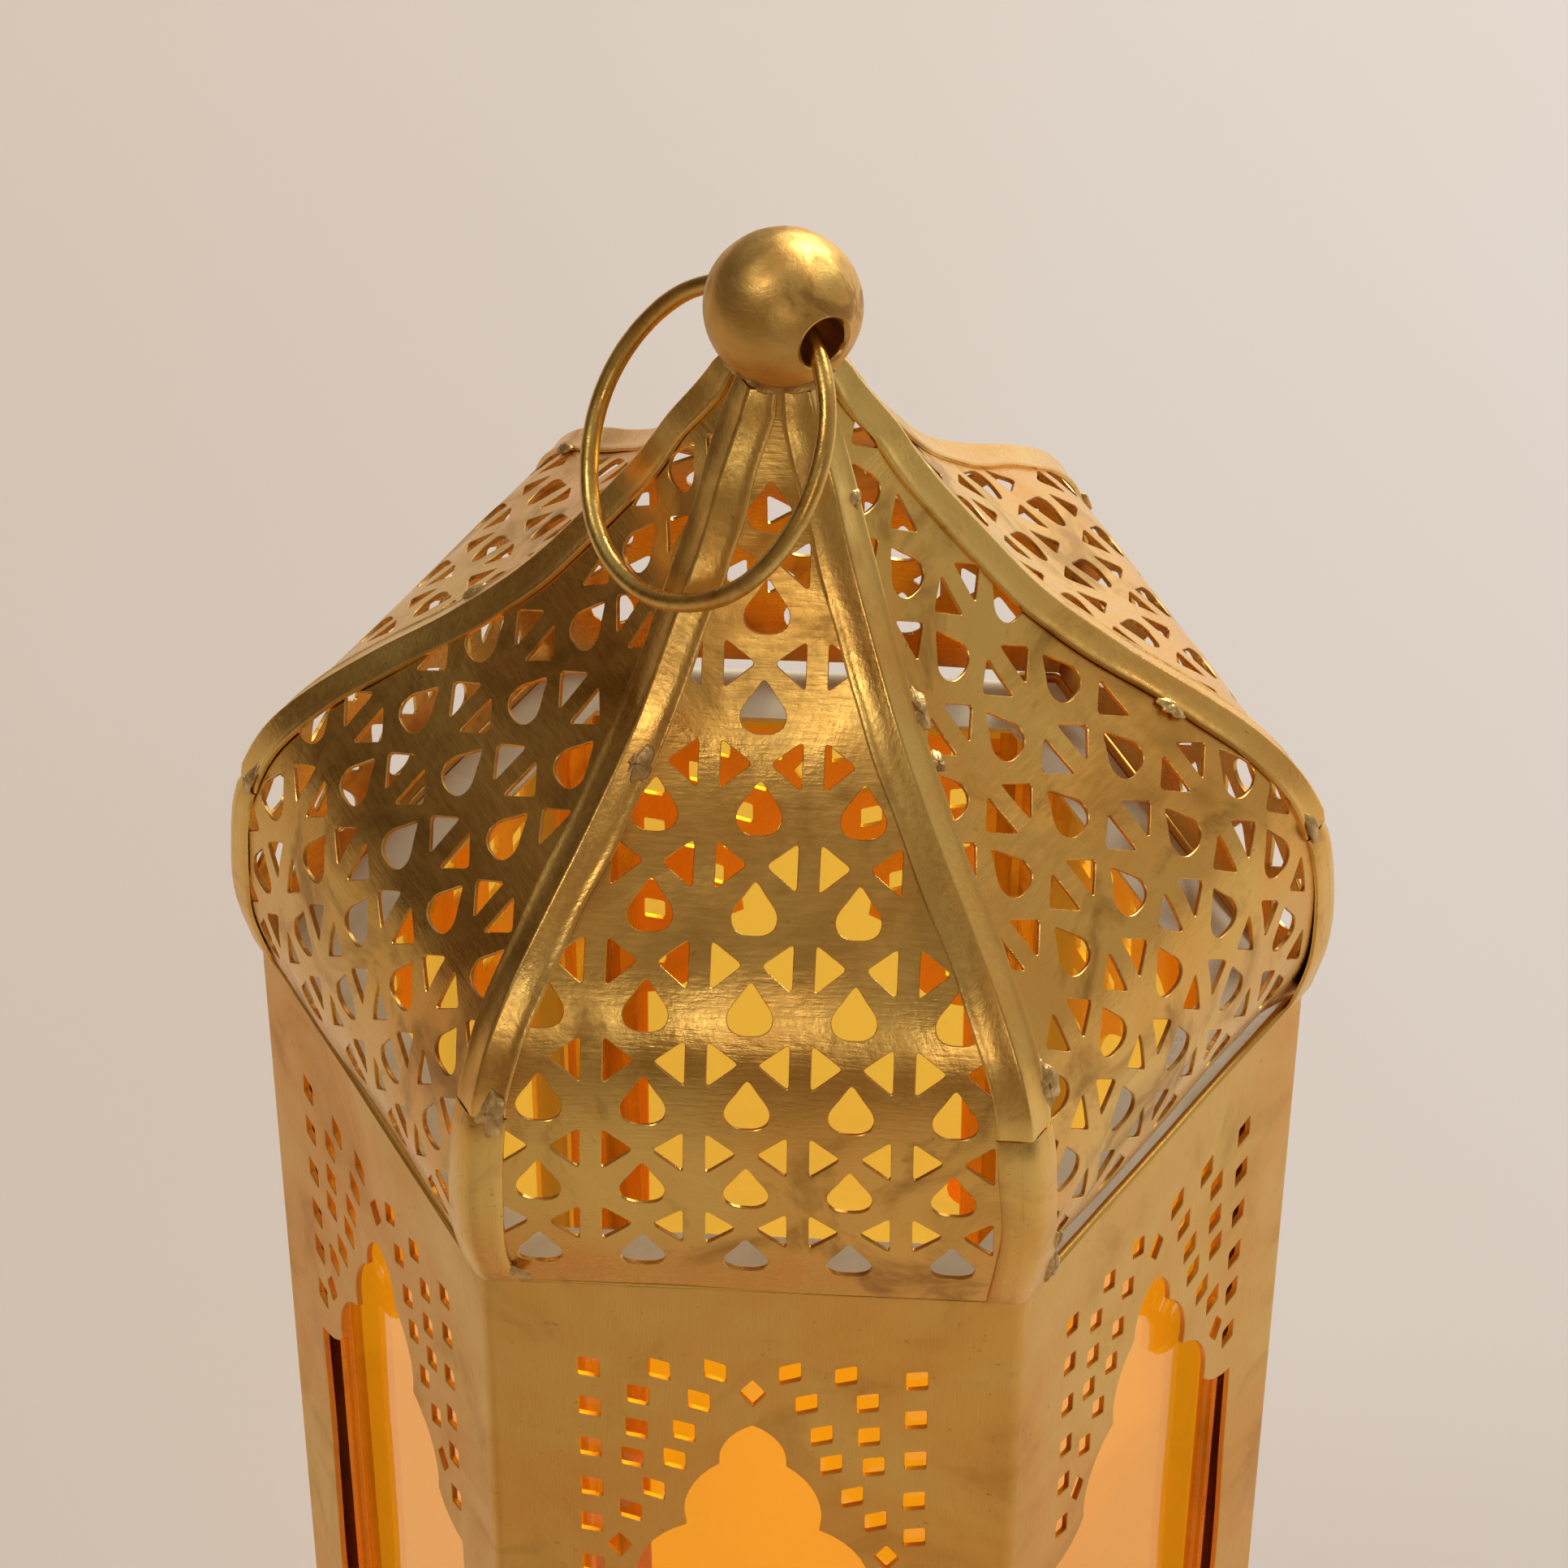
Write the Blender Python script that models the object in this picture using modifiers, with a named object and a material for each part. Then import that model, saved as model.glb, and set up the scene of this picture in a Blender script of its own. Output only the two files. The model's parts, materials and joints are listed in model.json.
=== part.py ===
"""Six-sided candle lantern in punched sheet brass: ogee roof with a ball finial and a hanging ring,
glazed body with cusped-arch windows, a hinged door with a latch at the back, and a candle inside.

Metres, +Z up. The origin is the centre of the base's underside, and the front face looks along -Y.
The six corners are at 0, 60, 120 ... degrees and the six faces between them at -90, -30, 30 ... degrees.
"""

from math import atan2, cos, hypot, pi, radians, sin, sqrt, tan

import bmesh
import bpy
from mathutils import Matrix, Vector

MM = 0.001

# ---- Driving dimensions ----------------------------------------------------------------------------
# Body
BODY_TOP_R = 65.0 * MM  # over the outer corners at the eave
FACE_LEAN = radians(1.47)  # each face leans in towards the base
WALL_FOOT_Z = 18.0 * MM
BODY_HEIGHT = 186.0 * MM
WALL = 0.8 * MM  # body and door sheet
RETURN_WIDTH = 5.5 * MM  # the body sheet's fold round each back corner
CUT_DEPTH = 16.0 * MM  # thickness of a cutter that goes through the wall

# Roof
ROOF_HEIGHT = 98.6 * MM  # eave to the tip of the ribs
ROOF_TIP_R = 9.0 * MM
ROOF_SHEET = 0.6 * MM
RIB_SHEET = 0.8 * MM
RIB_FLANGE = 4.6 * MM
RIB_FLANGE_TIP = 3.2 * MM
CORNER_STRIP_FLANGE = 5.4 * MM
CORNER_STRIP_SHEET = 0.6 * MM

# The ogee over a corner, from the eave up: (share of the way out from the tip to the body's corner, share of
# the roof's height). Over 1 the shoulder swells past the body.
OGEE = (
    (1.000, 0.000),
    (1.042, 0.090),
    (1.046, 0.180),
    (1.028, 0.270),
    (0.966, 0.360),
    (0.865, 0.430),
    (0.720, 0.498),
    (0.565, 0.563),
    (0.394, 0.650),
    (0.240, 0.760),
    (0.118, 0.861),
    (0.000, 1.000),
)
RIB_END = 4  # the ogee point where the rib strip stops and the corner strip takes over

# Punched lattice of the roof, measured along the sheet
PUNCH_PITCH_ACROSS = 12.35 * MM
PUNCH_PITCH_UP = 11.95 * MM
PUNCH_FIRST_ROW = 7.6 * MM  # middle of the lowest row of drops above the eave
DROP_WIDTH = 5.2 * MM
DROP_HEIGHT = 6.1 * MM
PUNCH_MARGIN = 1.6 * MM  # sheet left between a punched hole and the panel's seam

# Finial
BALL_R = 9.5 * MM
BALL_RISE = 8.9 * MM  # ball centre above the tip of the ribs
NECK_R = 6.2 * MM
NECK_DEPTH = 7.0 * MM
RING_R = 19.3 * MM  # to the middle of the wire
RING_WIRE_R = 1.15 * MM
RING_SAG = 0.6 * MM  # how far the wire's arc rises over the hole's middle
RING_PLAY = 0.1 * MM  # round the wire at the hole's mouths
HOLE_TURN = radians(-53.0)
HOLE_TILT = radians(4.0)
RING_LIFT = radians(2.97)  # of the ring as it lies, over the line from the ball to the hip's REST_POINT
REST_POINT = 9  # in OGEE

# Windows, measured down from the eave and out from the face's middle
ARCH_APEX = 24.2 * MM
CUSP_1 = (4.1 * MM, 31.4 * MM)
CUSP_2 = (8.2 * MM, 42.9 * MM)
CUSP_3 = (14.3 * MM, 54.7 * MM)
JAMB = (20.9 * MM, 58.5 * MM)
LOBE_BULGES = (0.16, 0.20, 0.17)  # rise of each lobe's arc as a share of its chord
SHOULDER_BULGE = -0.12
SILL_RISE = 16.0 * MM  # sill above the foot of the wall

# Glass and what holds it
GLASS = 2.0 * MM
PANE_TOP_DROP = 5.0 * MM
PANE_FOOT_RISE = 4.0 * MM
PANE_SIDE_MARGIN = 5.4 * MM  # pane edge to the wall's outer corner
PANE_RECESS = 4.2 * MM  # outer face of a fixed pane behind the wall's outer face
STRIP_SHEET = 0.6 * MM
STRIP_LIP = 2.2 * MM  # how far a corner strip's lips reach over the pane's edge
STRIP_SPINE = 1.2 * MM  # thickness of the strip's spine, which stands on the wall's fold
CLIP_WIDTH = 2.0 * MM

# Top frame inside the eave
FRAME_WIDTH = 9.0 * MM
FRAME_SHEET = 0.8 * MM
FRAME_DROP = 1.6 * MM  # its underside below the eave

# Base
PLATE_R = 66.0 * MM
PLATE_SHEET = 1.2 * MM
SKIRT_SHEET = 0.9 * MM
SKIRT_TOP_Z = 24.0 * MM

# Door, hinges and latch
DOOR_GAP_BELOW = 2.0 * MM  # over the skirt's top
DOOR_GAP_ABOVE = 3.0 * MM  # under the eave
DOOR_LAP = 1.2 * MM  # over the fold on the latch side
DOOR_HINGE_MARGIN = 1.6 * MM  # door edge to the corner on the hinge side
DOOR_PANE_MARGIN = 1.9 * MM  # pane edge to the fold, room to swing out
HINGE_INSET = 30.0 * MM  # middle of each hinge from the wall's foot, and from the eave
HINGE_LENGTH = 14.0 * MM
KNUCKLE_R = 2.0 * MM
PIN_R = 0.75 * MM
LEAF_WIDTH = 8.0 * MM
LEAF_SHEET = 0.8 * MM
LATCH_SHEET = 1.0 * MM
PEG_R = 0.9 * MM
PEG_LENGTH = 3.0 * MM
PEG_MARGIN = 2.2 * MM  # peg to the body's corner
RIVET_R = 0.9 * MM
RIVET_HEAD_R = 2.2 * MM
RIVET_HEAD = 0.9 * MM
LATCH_REACH = 6.6 * MM  # rivet to peg
LATCH_EYE_R = 3.2 * MM
LATCH_MOUTH_DROP = 1.7 * MM  # the notch's mouth below the peg
LATCH_BACK_WALL = 1.6 * MM  # metal over the notch
LATCH_TIP_WALL = 1.8 * MM  # metal past the notch
LATCH_NOSE = 0.8 * MM  # how far the tip's point stands past it

# Candle
CUP_R = 22.0 * MM
CUP_HEIGHT = 9.0 * MM
CUP_SHEET = 0.8 * MM
CANDLE_R = 19.0 * MM
CANDLE_HEIGHT = 44.0 * MM
CANDLE_DIP = 1.6 * MM  # of the melted middle, and of the rounded rim
WICK_R = 0.8 * MM
WICK_HEIGHT = 8.0 * MM

# Clearances
GAP = 0.3 * MM  # between pieces that touch or are soldered
RUN_GAP = 0.3 * MM  # radial play of a pin in its bore
NOTCH_PLAY = 0.4 * MM  # round the peg in the hook
KNUCKLE_PLAY = 0.4 * MM  # between knuckles, end to end

# ---- Derived sizes ----------------------------------------------------------------------------------
SIDES = 6
HALF_SIDE_ANGLE = pi / SIDES
EAVE_Z = WALL_FOOT_Z + BODY_HEIGHT
CORNER_LEAN = tan(FACE_LEAN) / cos(HALF_SIDE_ANGLE)  # how far a corner comes in for each metre down
FACE_ANGLES = {
    "front": radians(-90),
    "front_right": radians(-30),
    "back_right": radians(30),
    "back": radians(90),
    "back_left": radians(150),
    "front_left": radians(210),
}
FIXED_FACES = [name for name in FACE_ANGLES if name != "back"]
DOOR_CORNERS = (1, 2)  # the corners at the latch and at the hinges, in steps of 60 degrees
HINGE_HEIGHTS = (WALL_FOOT_Z + HINGE_INSET, EAVE_Z - HINGE_INSET)
LATCH_Z = (WALL_FOOT_Z + EAVE_Z) / 2
DOOR_OUT = GAP + WALL  # outer face of the door panel, likewise
HINGE_OFFSET = KNUCKLE_R + GAP  # hinge axis outside both faces at the corner
ROOF_TIP_Z = EAVE_Z + ROOF_HEIGHT
BALL_CENTRE = Vector((0, 0, ROOF_TIP_Z + BALL_RISE))
# The wire's arc leaves the hole's mouths this far below the hole's middle.
RING_MOUTH_DROP = RING_R - RING_SAG - sqrt(RING_R**2 - BALL_R**2)
BALL_HOLE_R = RING_WIRE_R + RING_MOUTH_DROP + RING_PLAY


def corner_r(z):
    """Distance from the axis to the wall's outer corner at height z."""
    return BODY_TOP_R - (EAVE_Z - z) * CORNER_LEAN


def half_side(z):
    return corner_r(z) * sin(HALF_SIDE_ANGLE)


# ---- Scene ------------------------------------------------------------------------------------------
for old in list(bpy.data.objects):
    bpy.data.objects.remove(old, do_unlink=True)

PARTS = bpy.data.collections.new("candle_lantern")
CUTTERS = bpy.data.collections.new("cutters")
bpy.context.scene.collection.children.link(PARTS)
bpy.context.scene.collection.children.link(CUTTERS)
CUTTERS.hide_render = True


def material(name, colour, roughness, metallic, transmission=0.0):
    made = bpy.data.materials.new(name)
    made.use_nodes = True
    shader = made.node_tree.nodes["Principled BSDF"]
    shader.inputs["Base Color"].default_value = (*colour, 1.0)
    shader.inputs["Roughness"].default_value = roughness
    shader.inputs["Metallic"].default_value = metallic
    shader.inputs["Transmission Weight"].default_value = transmission
    made.diffuse_color = (*colour, 1.0)
    return made


ROOF_BRASS = material("roof_brass", (0.55, 0.38, 0.14), 0.34, 1.0)
BODY_BRASS = material("body_brass", (0.60, 0.40, 0.17), 0.42, 1.0)
STRIP_BRASS = material("strip_brass", (0.72, 0.54, 0.24), 0.30, 1.0)
BALL_BRASS = material("ball_brass", (0.58, 0.40, 0.14), 0.30, 1.0)
RING_BRASS = material("ring_brass", (0.62, 0.44, 0.14), 0.22, 1.0)
SOLDER = material("solder", (0.55, 0.50, 0.38), 0.40, 1.0)
TINPLATE = material("tinplate", (0.62, 0.61, 0.57), 0.30, 1.0)
AMBER_GLASS = material("amber_glass", (0.95, 0.42, 0.04), 0.04, 0.0, 0.9)
WAX = material("wax", (0.88, 0.84, 0.74), 0.50, 0.0)
WICK = material("wick_cotton", (0.16, 0.13, 0.11), 0.90, 0.0)


# ---- Building blocks --------------------------------------------------------------------------------
def add_object(name, data, finish=None, matrix=None):
    """Links a new object. Without a finish it is a cutter, which no render or export shows."""
    made = bpy.data.objects.new(name, data)
    if finish is None:
        CUTTERS.objects.link(made)
        made.hide_render = True
        made.display_type = "WIRE"
    else:
        PARTS.objects.link(made)
        made.data.materials.append(finish)
    if matrix is not None:
        made.matrix_world = matrix
    return made


def mesh_from(fill, name="shape"):
    """A mesh that the function fill builds in a bmesh."""
    shape = bmesh.new()
    fill(shape)
    bmesh.ops.recalc_face_normals(shape, faces=shape.faces)
    mesh = bpy.data.meshes.new(name)
    shape.to_mesh(mesh)
    shape.free()
    return mesh


def shade_round(made, angle=35):
    made.data.shade_smooth()
    made.data.set_sharp_from_angle(angle=radians(angle))


def turned(name, profile, finish, steps, closed=False, smooth=True):
    """A profile of (radius, height) points, turned round the Z axis in so many steps.

    It runs down its outer side. A closed profile keeps off the axis, an open one starts and ends on it.
    """
    shape = bmesh.new()
    points = [shape.verts.new((r, 0, z)) for r, z in profile]
    for start, end in zip(points, points[1:] + points[:1] * closed):
        shape.edges.new((start, end))
    mesh = bpy.data.meshes.new(name)
    shape.to_mesh(mesh)
    shape.free()
    made = add_object(name, mesh, finish)
    screw = made.modifiers.new("turn", "SCREW")
    screw.steps = screw.render_steps = steps
    screw.use_merge_vertices = True
    screw.merge_threshold = 0.00001
    screw.use_smooth_shade = smooth
    return made


def plate(name, outline, thickness, finish, matrix, holes=()):
    """A flat sheet with holes. The outline lies in the matrix's XY plane and the sheet is centred on it."""
    curve = bpy.data.curves.new(name, "CURVE")
    curve.dimensions = "2D"
    curve.fill_mode = "BOTH"
    curve.extrude = thickness / 2
    for loop in (outline, *holes):
        spline = curve.splines.new("POLY")
        spline.points.add(len(loop) - 1)
        for point, (x, y) in zip(spline.points, loop):
            point.co = (x, y, 0, 1)
        spline.use_cyclic_u = True
    flat = bpy.data.objects.new(name, curve)
    CUTTERS.objects.link(flat)
    bpy.context.view_layer.update()
    graph = bpy.context.evaluated_depsgraph_get()
    mesh = bpy.data.meshes.new_from_object(flat.evaluated_get(graph))
    bpy.data.objects.remove(flat)
    bpy.data.curves.remove(curve)
    shape = bmesh.new()
    shape.from_mesh(mesh)
    bmesh.ops.remove_doubles(shape, verts=shape.verts, dist=0.000001)
    bmesh.ops.recalc_face_normals(shape, faces=shape.faces)
    shape.to_mesh(mesh)
    shape.free()
    mesh.materials.clear()
    return add_object(name, mesh, finish, matrix)


def cylinder(name, radius, length, finish, matrix, segments=16):
    """A cylinder along the matrix's Z axis, from its origin to length."""

    def fill(shape):
        bmesh.ops.create_cone(
            shape, cap_ends=True, segments=segments, radius1=radius, radius2=radius, depth=length
        )
        bmesh.ops.translate(shape, verts=shape.verts, vec=(0, 0, length / 2))

    made = add_object(name, mesh_from(fill, name), finish, matrix)
    shade_round(made)
    return made


def block(name, low, high, finish, matrix):
    """A box between two corners in the matrix's frame."""
    low, high = Vector(low), Vector(high)

    def fill(shape):
        bmesh.ops.create_cube(shape, size=1.0)
        bmesh.ops.scale(shape, verts=shape.verts, vec=high - low)
        bmesh.ops.translate(shape, verts=shape.verts, vec=(low + high) / 2)

    return add_object(name, mesh_from(fill, name), finish, matrix)


def boolean(made, cutter, operation="DIFFERENCE"):
    change = made.modifiers.new(cutter.name, "BOOLEAN")
    change.object = cutter
    change.operation = operation
    change.solver = "EXACT"


def arc(start, end, bulge, steps):
    """Points from start to end, without start, on an arc that rises by bulge times the chord, to the left."""
    (x0, y0), (x1, y1) = start, end
    chord = hypot(x1 - x0, y1 - y0)
    rise = bulge * chord
    radius = (chord * chord / 4 + rise * rise) / (2 * rise)
    middle = Vector(((x0 + x1) / 2, (y0 + y1) / 2))
    across = Vector((y0 - y1, x1 - x0)) / chord
    centre = middle + across * (rise - radius)
    first = atan2(y0 - centre.y, x0 - centre.x)
    turn = atan2(y1 - centre.y, x1 - centre.x) - first
    turn = (turn + pi) % (2 * pi) - pi
    reach = abs(radius)
    angles = [first + turn * step / steps for step in range(1, steps + 1)]
    return [(centre.x + reach * cos(a), centre.y + reach * sin(a)) for a in angles]


# ---- Frames on the body's faces and corners ----------------------------------------------------------
def frame_matrix(origin, x_axis, y_axis, z_axis):
    made = Matrix.Identity(4)
    for column, axis in enumerate((x_axis, y_axis, z_axis, origin)):
        made.col[column][:3] = axis[:]
    return made


def face_frame(face, out=0.0):
    """X along the face, Y up it, Z out of it. The origin is the middle of the face's top edge, moved out."""
    angle = FACE_ANGLES[face]
    level = Vector((cos(angle), sin(angle), 0))
    along = Vector((-sin(angle), cos(angle), 0))
    outward = (level * cos(FACE_LEAN) - Vector((0, 0, sin(FACE_LEAN)))).normalized()
    origin = level * BODY_TOP_R * cos(HALF_SIDE_ANGLE) + Vector((0, 0, EAVE_Z))
    return frame_matrix(origin + outward * out, along, outward.cross(along), outward)


def up_face(z):
    """Height z as a Y value in a face frame."""
    return (z - EAVE_Z) / cos(FACE_LEAN)


def face_outline(low_z, high_z, margin_left, margin_right):
    """A panel on a face, between two heights, each side so far in from the wall's corner."""
    return [
        (-half_side(low_z) + margin_left, up_face(low_z)),
        (half_side(low_z) - margin_right, up_face(low_z)),
        (half_side(high_z) - margin_right, up_face(high_z)),
        (-half_side(high_z) + margin_left, up_face(high_z)),
    ]


def corner_line(angle):
    """The wall's outer corner at this angle: its foot, its upward direction, and outward square to that."""
    level = Vector((cos(angle), sin(angle), 0))
    foot = level * corner_r(WALL_FOOT_Z) + Vector((0, 0, WALL_FOOT_Z))
    top = level * corner_r(EAVE_Z) + Vector((0, 0, EAVE_Z))
    upward = (top - foot).normalized()
    return foot, upward, upward.cross(level).normalized().cross(upward)


# ---- Body -------------------------------------------------------------------------------------------
def window_outline():
    """The cusped arch on straight jambs, anticlockwise, in a face frame."""
    right = [(0.0, -ARCH_APEX)]
    for (out, down), bulge in zip((CUSP_1, CUSP_2, CUSP_3), LOBE_BULGES):
        right += arc(right[-1], (out, -down), bulge, 4)
    right += arc(right[-1], (JAMB[0], -JAMB[1]), SHOULDER_BULGE, 2)
    right.append((JAMB[0], up_face(WALL_FOOT_Z + SILL_RISE)))
    left = [(-x, y) for x, y in right[1:]]
    return left + right[::-1]


def tapered_ring(name, outer_low, outer_high, low_z, high_z, wall, finish):
    """A six-sided tube. The radii are over its outer corners, and wall is square to its faces."""
    inset = wall / cos(HALF_SIDE_ANGLE)
    profile = [
        (outer_high, high_z),
        (outer_low, low_z),
        (outer_low - inset, low_z),
        (outer_high - inset, high_z),
    ]
    return turned(name, profile, finish, SIDES, closed=True, smooth=False)


def build_body_wall():
    wall = tapered_ring(
        "body_wall", corner_r(WALL_FOOT_Z), corner_r(EAVE_Z), WALL_FOOT_Z, EAVE_Z, WALL, BODY_BRASS
    )
    for face in FIXED_FACES:
        cutter = plate(f"window_cut_{face}", window_outline(), CUT_DEPTH, None, face_frame(face))
        boolean(wall, cutter)
    over = 2 * WALL
    opening = face_outline(WALL_FOOT_Z, EAVE_Z, RETURN_WIDTH, RETURN_WIDTH)
    opening = [(x, y + over if y > -over else y - over) for x, y in opening]
    boolean(wall, plate("door_opening_cut", opening, CUT_DEPTH, None, face_frame("back")))


def build_panes():
    outline = face_outline(
        WALL_FOOT_Z + PANE_FOOT_RISE, EAVE_Z - PANE_TOP_DROP, PANE_SIDE_MARGIN, PANE_SIDE_MARGIN
    )
    for face in FIXED_FACES:
        frame = face_frame(face, -PANE_RECESS - GLASS / 2)
        plate(f"pane_{face}", outline, GLASS, AMBER_GLASS, frame)


def strip_side(sign, grips_pane):
    """One side of a corner strip's section, from the spine's nose to its back. X runs in from the corner."""
    way = Vector((sin(HALF_SIDE_ANGLE), sign * cos(HALF_SIDE_ANGLE)))
    inward = Vector((cos(HALF_SIDE_ANGLE), -sign * sin(HALF_SIDE_ANGLE)))

    def spine(depth):
        across = STRIP_SPINE / 2
        return Vector(((depth + across * sin(HALF_SIDE_ANGLE)) / cos(HALF_SIDE_ANGLE), sign * across))

    def at(along, depth):
        return way * along + inward * depth

    front = PANE_RECESS - GAP
    back = PANE_RECESS + GLASS + GAP
    slot = PANE_SIDE_MARGIN - GAP
    lip = PANE_SIDE_MARGIN + STRIP_LIP
    side = [spine(WALL + GAP), spine(front - STRIP_SHEET)]
    if not grips_pane:
        return [*side, at(slot, front - STRIP_SHEET), at(slot, back + STRIP_SHEET)]
    return [
        *side,
        at(lip, front - STRIP_SHEET),
        at(lip, front),
        at(slot, front),
        at(slot, back),
        at(lip, back),
        at(lip, back + STRIP_SHEET),
    ]


def build_corner_strips():
    """Slotted strips in the corners, which hold the edges of the panes. On the door's side they have no slot."""
    low_z = WALL_FOOT_Z + PANE_FOOT_RISE
    high_z = EAVE_Z - PANE_TOP_DROP
    nose = Vector(((WALL + GAP) / cos(HALF_SIDE_ANGLE), 0))
    heel = Vector(((PANE_RECESS + GLASS + GAP + STRIP_SHEET) / cos(HALF_SIDE_ANGLE), 0))
    for number in range(SIDES):
        foot, upward, outward = corner_line(number * 2 * HALF_SIDE_ANGLE)
        length = (high_z - low_z) / upward.z
        middle = foot + upward * ((low_z - WALL_FOOT_Z) / upward.z + length / 2)
        # X in from the corner, Z up it.
        frame = frame_matrix(middle, -outward, -upward.cross(outward), upward)
        next_side = strip_side(-1, number != DOOR_CORNERS[0])
        last_side = strip_side(1, number != DOOR_CORNERS[1])
        outline = [nose, *next_side, heel, *reversed(last_side)]
        plate(f"corner_strip_{number + 1}", outline, length, STRIP_BRASS, frame)


def build_top_frame():
    wall_inside = corner_r(EAVE_Z - FRAME_DROP) - (WALL + GAP) / cos(HALF_SIDE_ANGLE)
    low = EAVE_Z - FRAME_DROP
    tapered_ring(
        "top_frame", wall_inside, wall_inside, low, low + FRAME_SHEET, FRAME_WIDTH, TINPLATE
    )


def build_base():
    plate_profile = [(0, PLATE_SHEET), (PLATE_R, PLATE_SHEET), (PLATE_R, 0), (0, 0)]
    turned("base_plate", plate_profile, BODY_BRASS, SIDES, smooth=False)

    foot_z = PLATE_SHEET + GAP
    neck = corner_r(SKIRT_TOP_Z) + GAP / cos(HALF_SIDE_ANGLE)
    inset = SKIRT_SHEET / cos(HALF_SIDE_ANGLE)
    rise = SKIRT_TOP_Z - foot_z
    flare = PLATE_R - neck - inset
    # (share of the flare outwards, share of the height) down the skirt's inner side
    ogee = ((0.0, 1.0), (0.0, 0.74), (0.28, 0.62), (0.72, 0.50), (0.94, 0.36), (1.0, 0.20), (1.0, 0.0))
    outer = [(neck + flare * out + inset, foot_z + rise * up) for out, up in ogee]
    inner = [(neck + flare * out, foot_z + rise * up) for out, up in reversed(ogee)]
    turned("base_skirt", outer + inner, BODY_BRASS, SIDES, closed=True, smooth=False)


# ---- Roof -------------------------------------------------------------------------------------------
def ogee_points():
    """(radius over the corner, height) up the roof's outer surface."""
    eave_r = BODY_TOP_R
    return [
        (ROOF_TIP_R + out * (eave_r - ROOF_TIP_R), EAVE_Z + GAP + up * (ROOF_HEIGHT - GAP))
        for out, up in OGEE
    ]


class Gore:
    """One roof panel's surface: level across the face, curved up it. Lengths up it are along the sheet."""

    def __init__(self):
        self.points = [Vector((r * cos(HALF_SIDE_ANGLE), z)) for r, z in ogee_points()]
        runs = [(b - a) for a, b in zip(self.points, self.points[1:])]
        self.stations = [0.0]
        for run in runs:
            self.stations.append(self.stations[-1] + run.length)
        normals = [Vector((run.y, -run.x)).normalized() for run in runs]
        self.mitres = []
        for before, after in zip([normals[0]] + normals, normals + [normals[-1]]):
            middle = (before + after).normalized()
            self.mitres.append(middle / middle.dot(after))

    def section(self, station, out):
        """(distance from the axis, height) at a length up the sheet, so far out of its outer surface."""
        last = len(self.stations) - 2
        index = max(i for i in range(last + 1) if self.stations[i] <= station + 1e-9 or i == 0)
        share = (station - self.stations[index]) / (self.stations[index + 1] - self.stations[index])
        low = self.points[index] + self.mitres[index] * out
        high = self.points[index + 1] + self.mitres[index + 1] * out
        return low.lerp(high, share)

    def half_width(self, station, out=0.0):
        return self.section(station, out).x * tan(HALF_SIDE_ANGLE)


GORE = Gore()


def face_turn(angle):
    """Turns a piece made on the face at -90 degrees onto the face at this angle."""
    return Matrix.Rotation(angle + pi / 2, 4, "Z")


def drop_outline(x, y):
    """A punched teardrop, point up."""
    half_width, half_height = DROP_WIDTH / 2, DROP_HEIGHT / 2
    return [
        (x, y + half_height),
        (x - half_width, y - half_height * 0.25),
        (x - half_width * 0.5, y - half_height),
        (x + half_width * 0.5, y - half_height),
        (x + half_width, y - half_height * 0.25),
    ]


def drop_holes():
    """The lattice's teardrops that lie clear of the panel's seams."""
    holes = []
    station = PUNCH_FIRST_ROW
    while station + DROP_HEIGHT < GORE.stations[-1]:
        room = GORE.half_width(station + DROP_HEIGHT / 2) - PUNCH_MARGIN - DROP_WIDTH / 2
        count = int(room / PUNCH_PITCH_ACROSS) if room > 0 else -1
        for column in range(-count, count + 1):
            holes.append(drop_outline(column * PUNCH_PITCH_ACROSS, station))
        station += PUNCH_PITCH_UP
    return holes


def build_roof_panels():
    """The flat punched panel, cut along the bend lines, then bent up the ogee."""
    seam = GAP / 2
    low, high = GORE.stations[0], GORE.stations[-1]
    edge = [(GORE.half_width(s, -ROOF_SHEET) - seam, s) for s in GORE.stations]
    outline = edge + [(-x, y) for x, y in reversed(edge)]
    flat = plate("roof_panel_flat", outline, ROOF_SHEET, ROOF_BRASS, Matrix(), drop_holes())
    shape = bmesh.new()
    shape.from_mesh(flat.data)
    for station in GORE.stations[1:-1]:
        everything = shape.verts[:] + shape.edges[:] + shape.faces[:]
        bmesh.ops.bisect_plane(
            shape, geom=everything, dist=1e-7, plane_co=(0, station, 0), plane_no=(0, 1, 0)
        )
    for vert in shape.verts:
        station = min(max(vert.co.y, low), high)
        spot = GORE.section(station, vert.co.z - ROOF_SHEET / 2)
        vert.co = (vert.co.x, -spot.x, spot.y)
    bmesh.ops.recalc_face_normals(shape, faces=shape.faces)
    shape.to_mesh(flat.data)
    shape.free()
    mesh = flat.data
    bpy.data.objects.remove(flat)
    for face, angle in FACE_ANGLES.items():
        made = bpy.data.objects.new(f"roof_panel_{face}", mesh)
        PARTS.objects.link(made)
        made.matrix_world = face_turn(angle)


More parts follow.
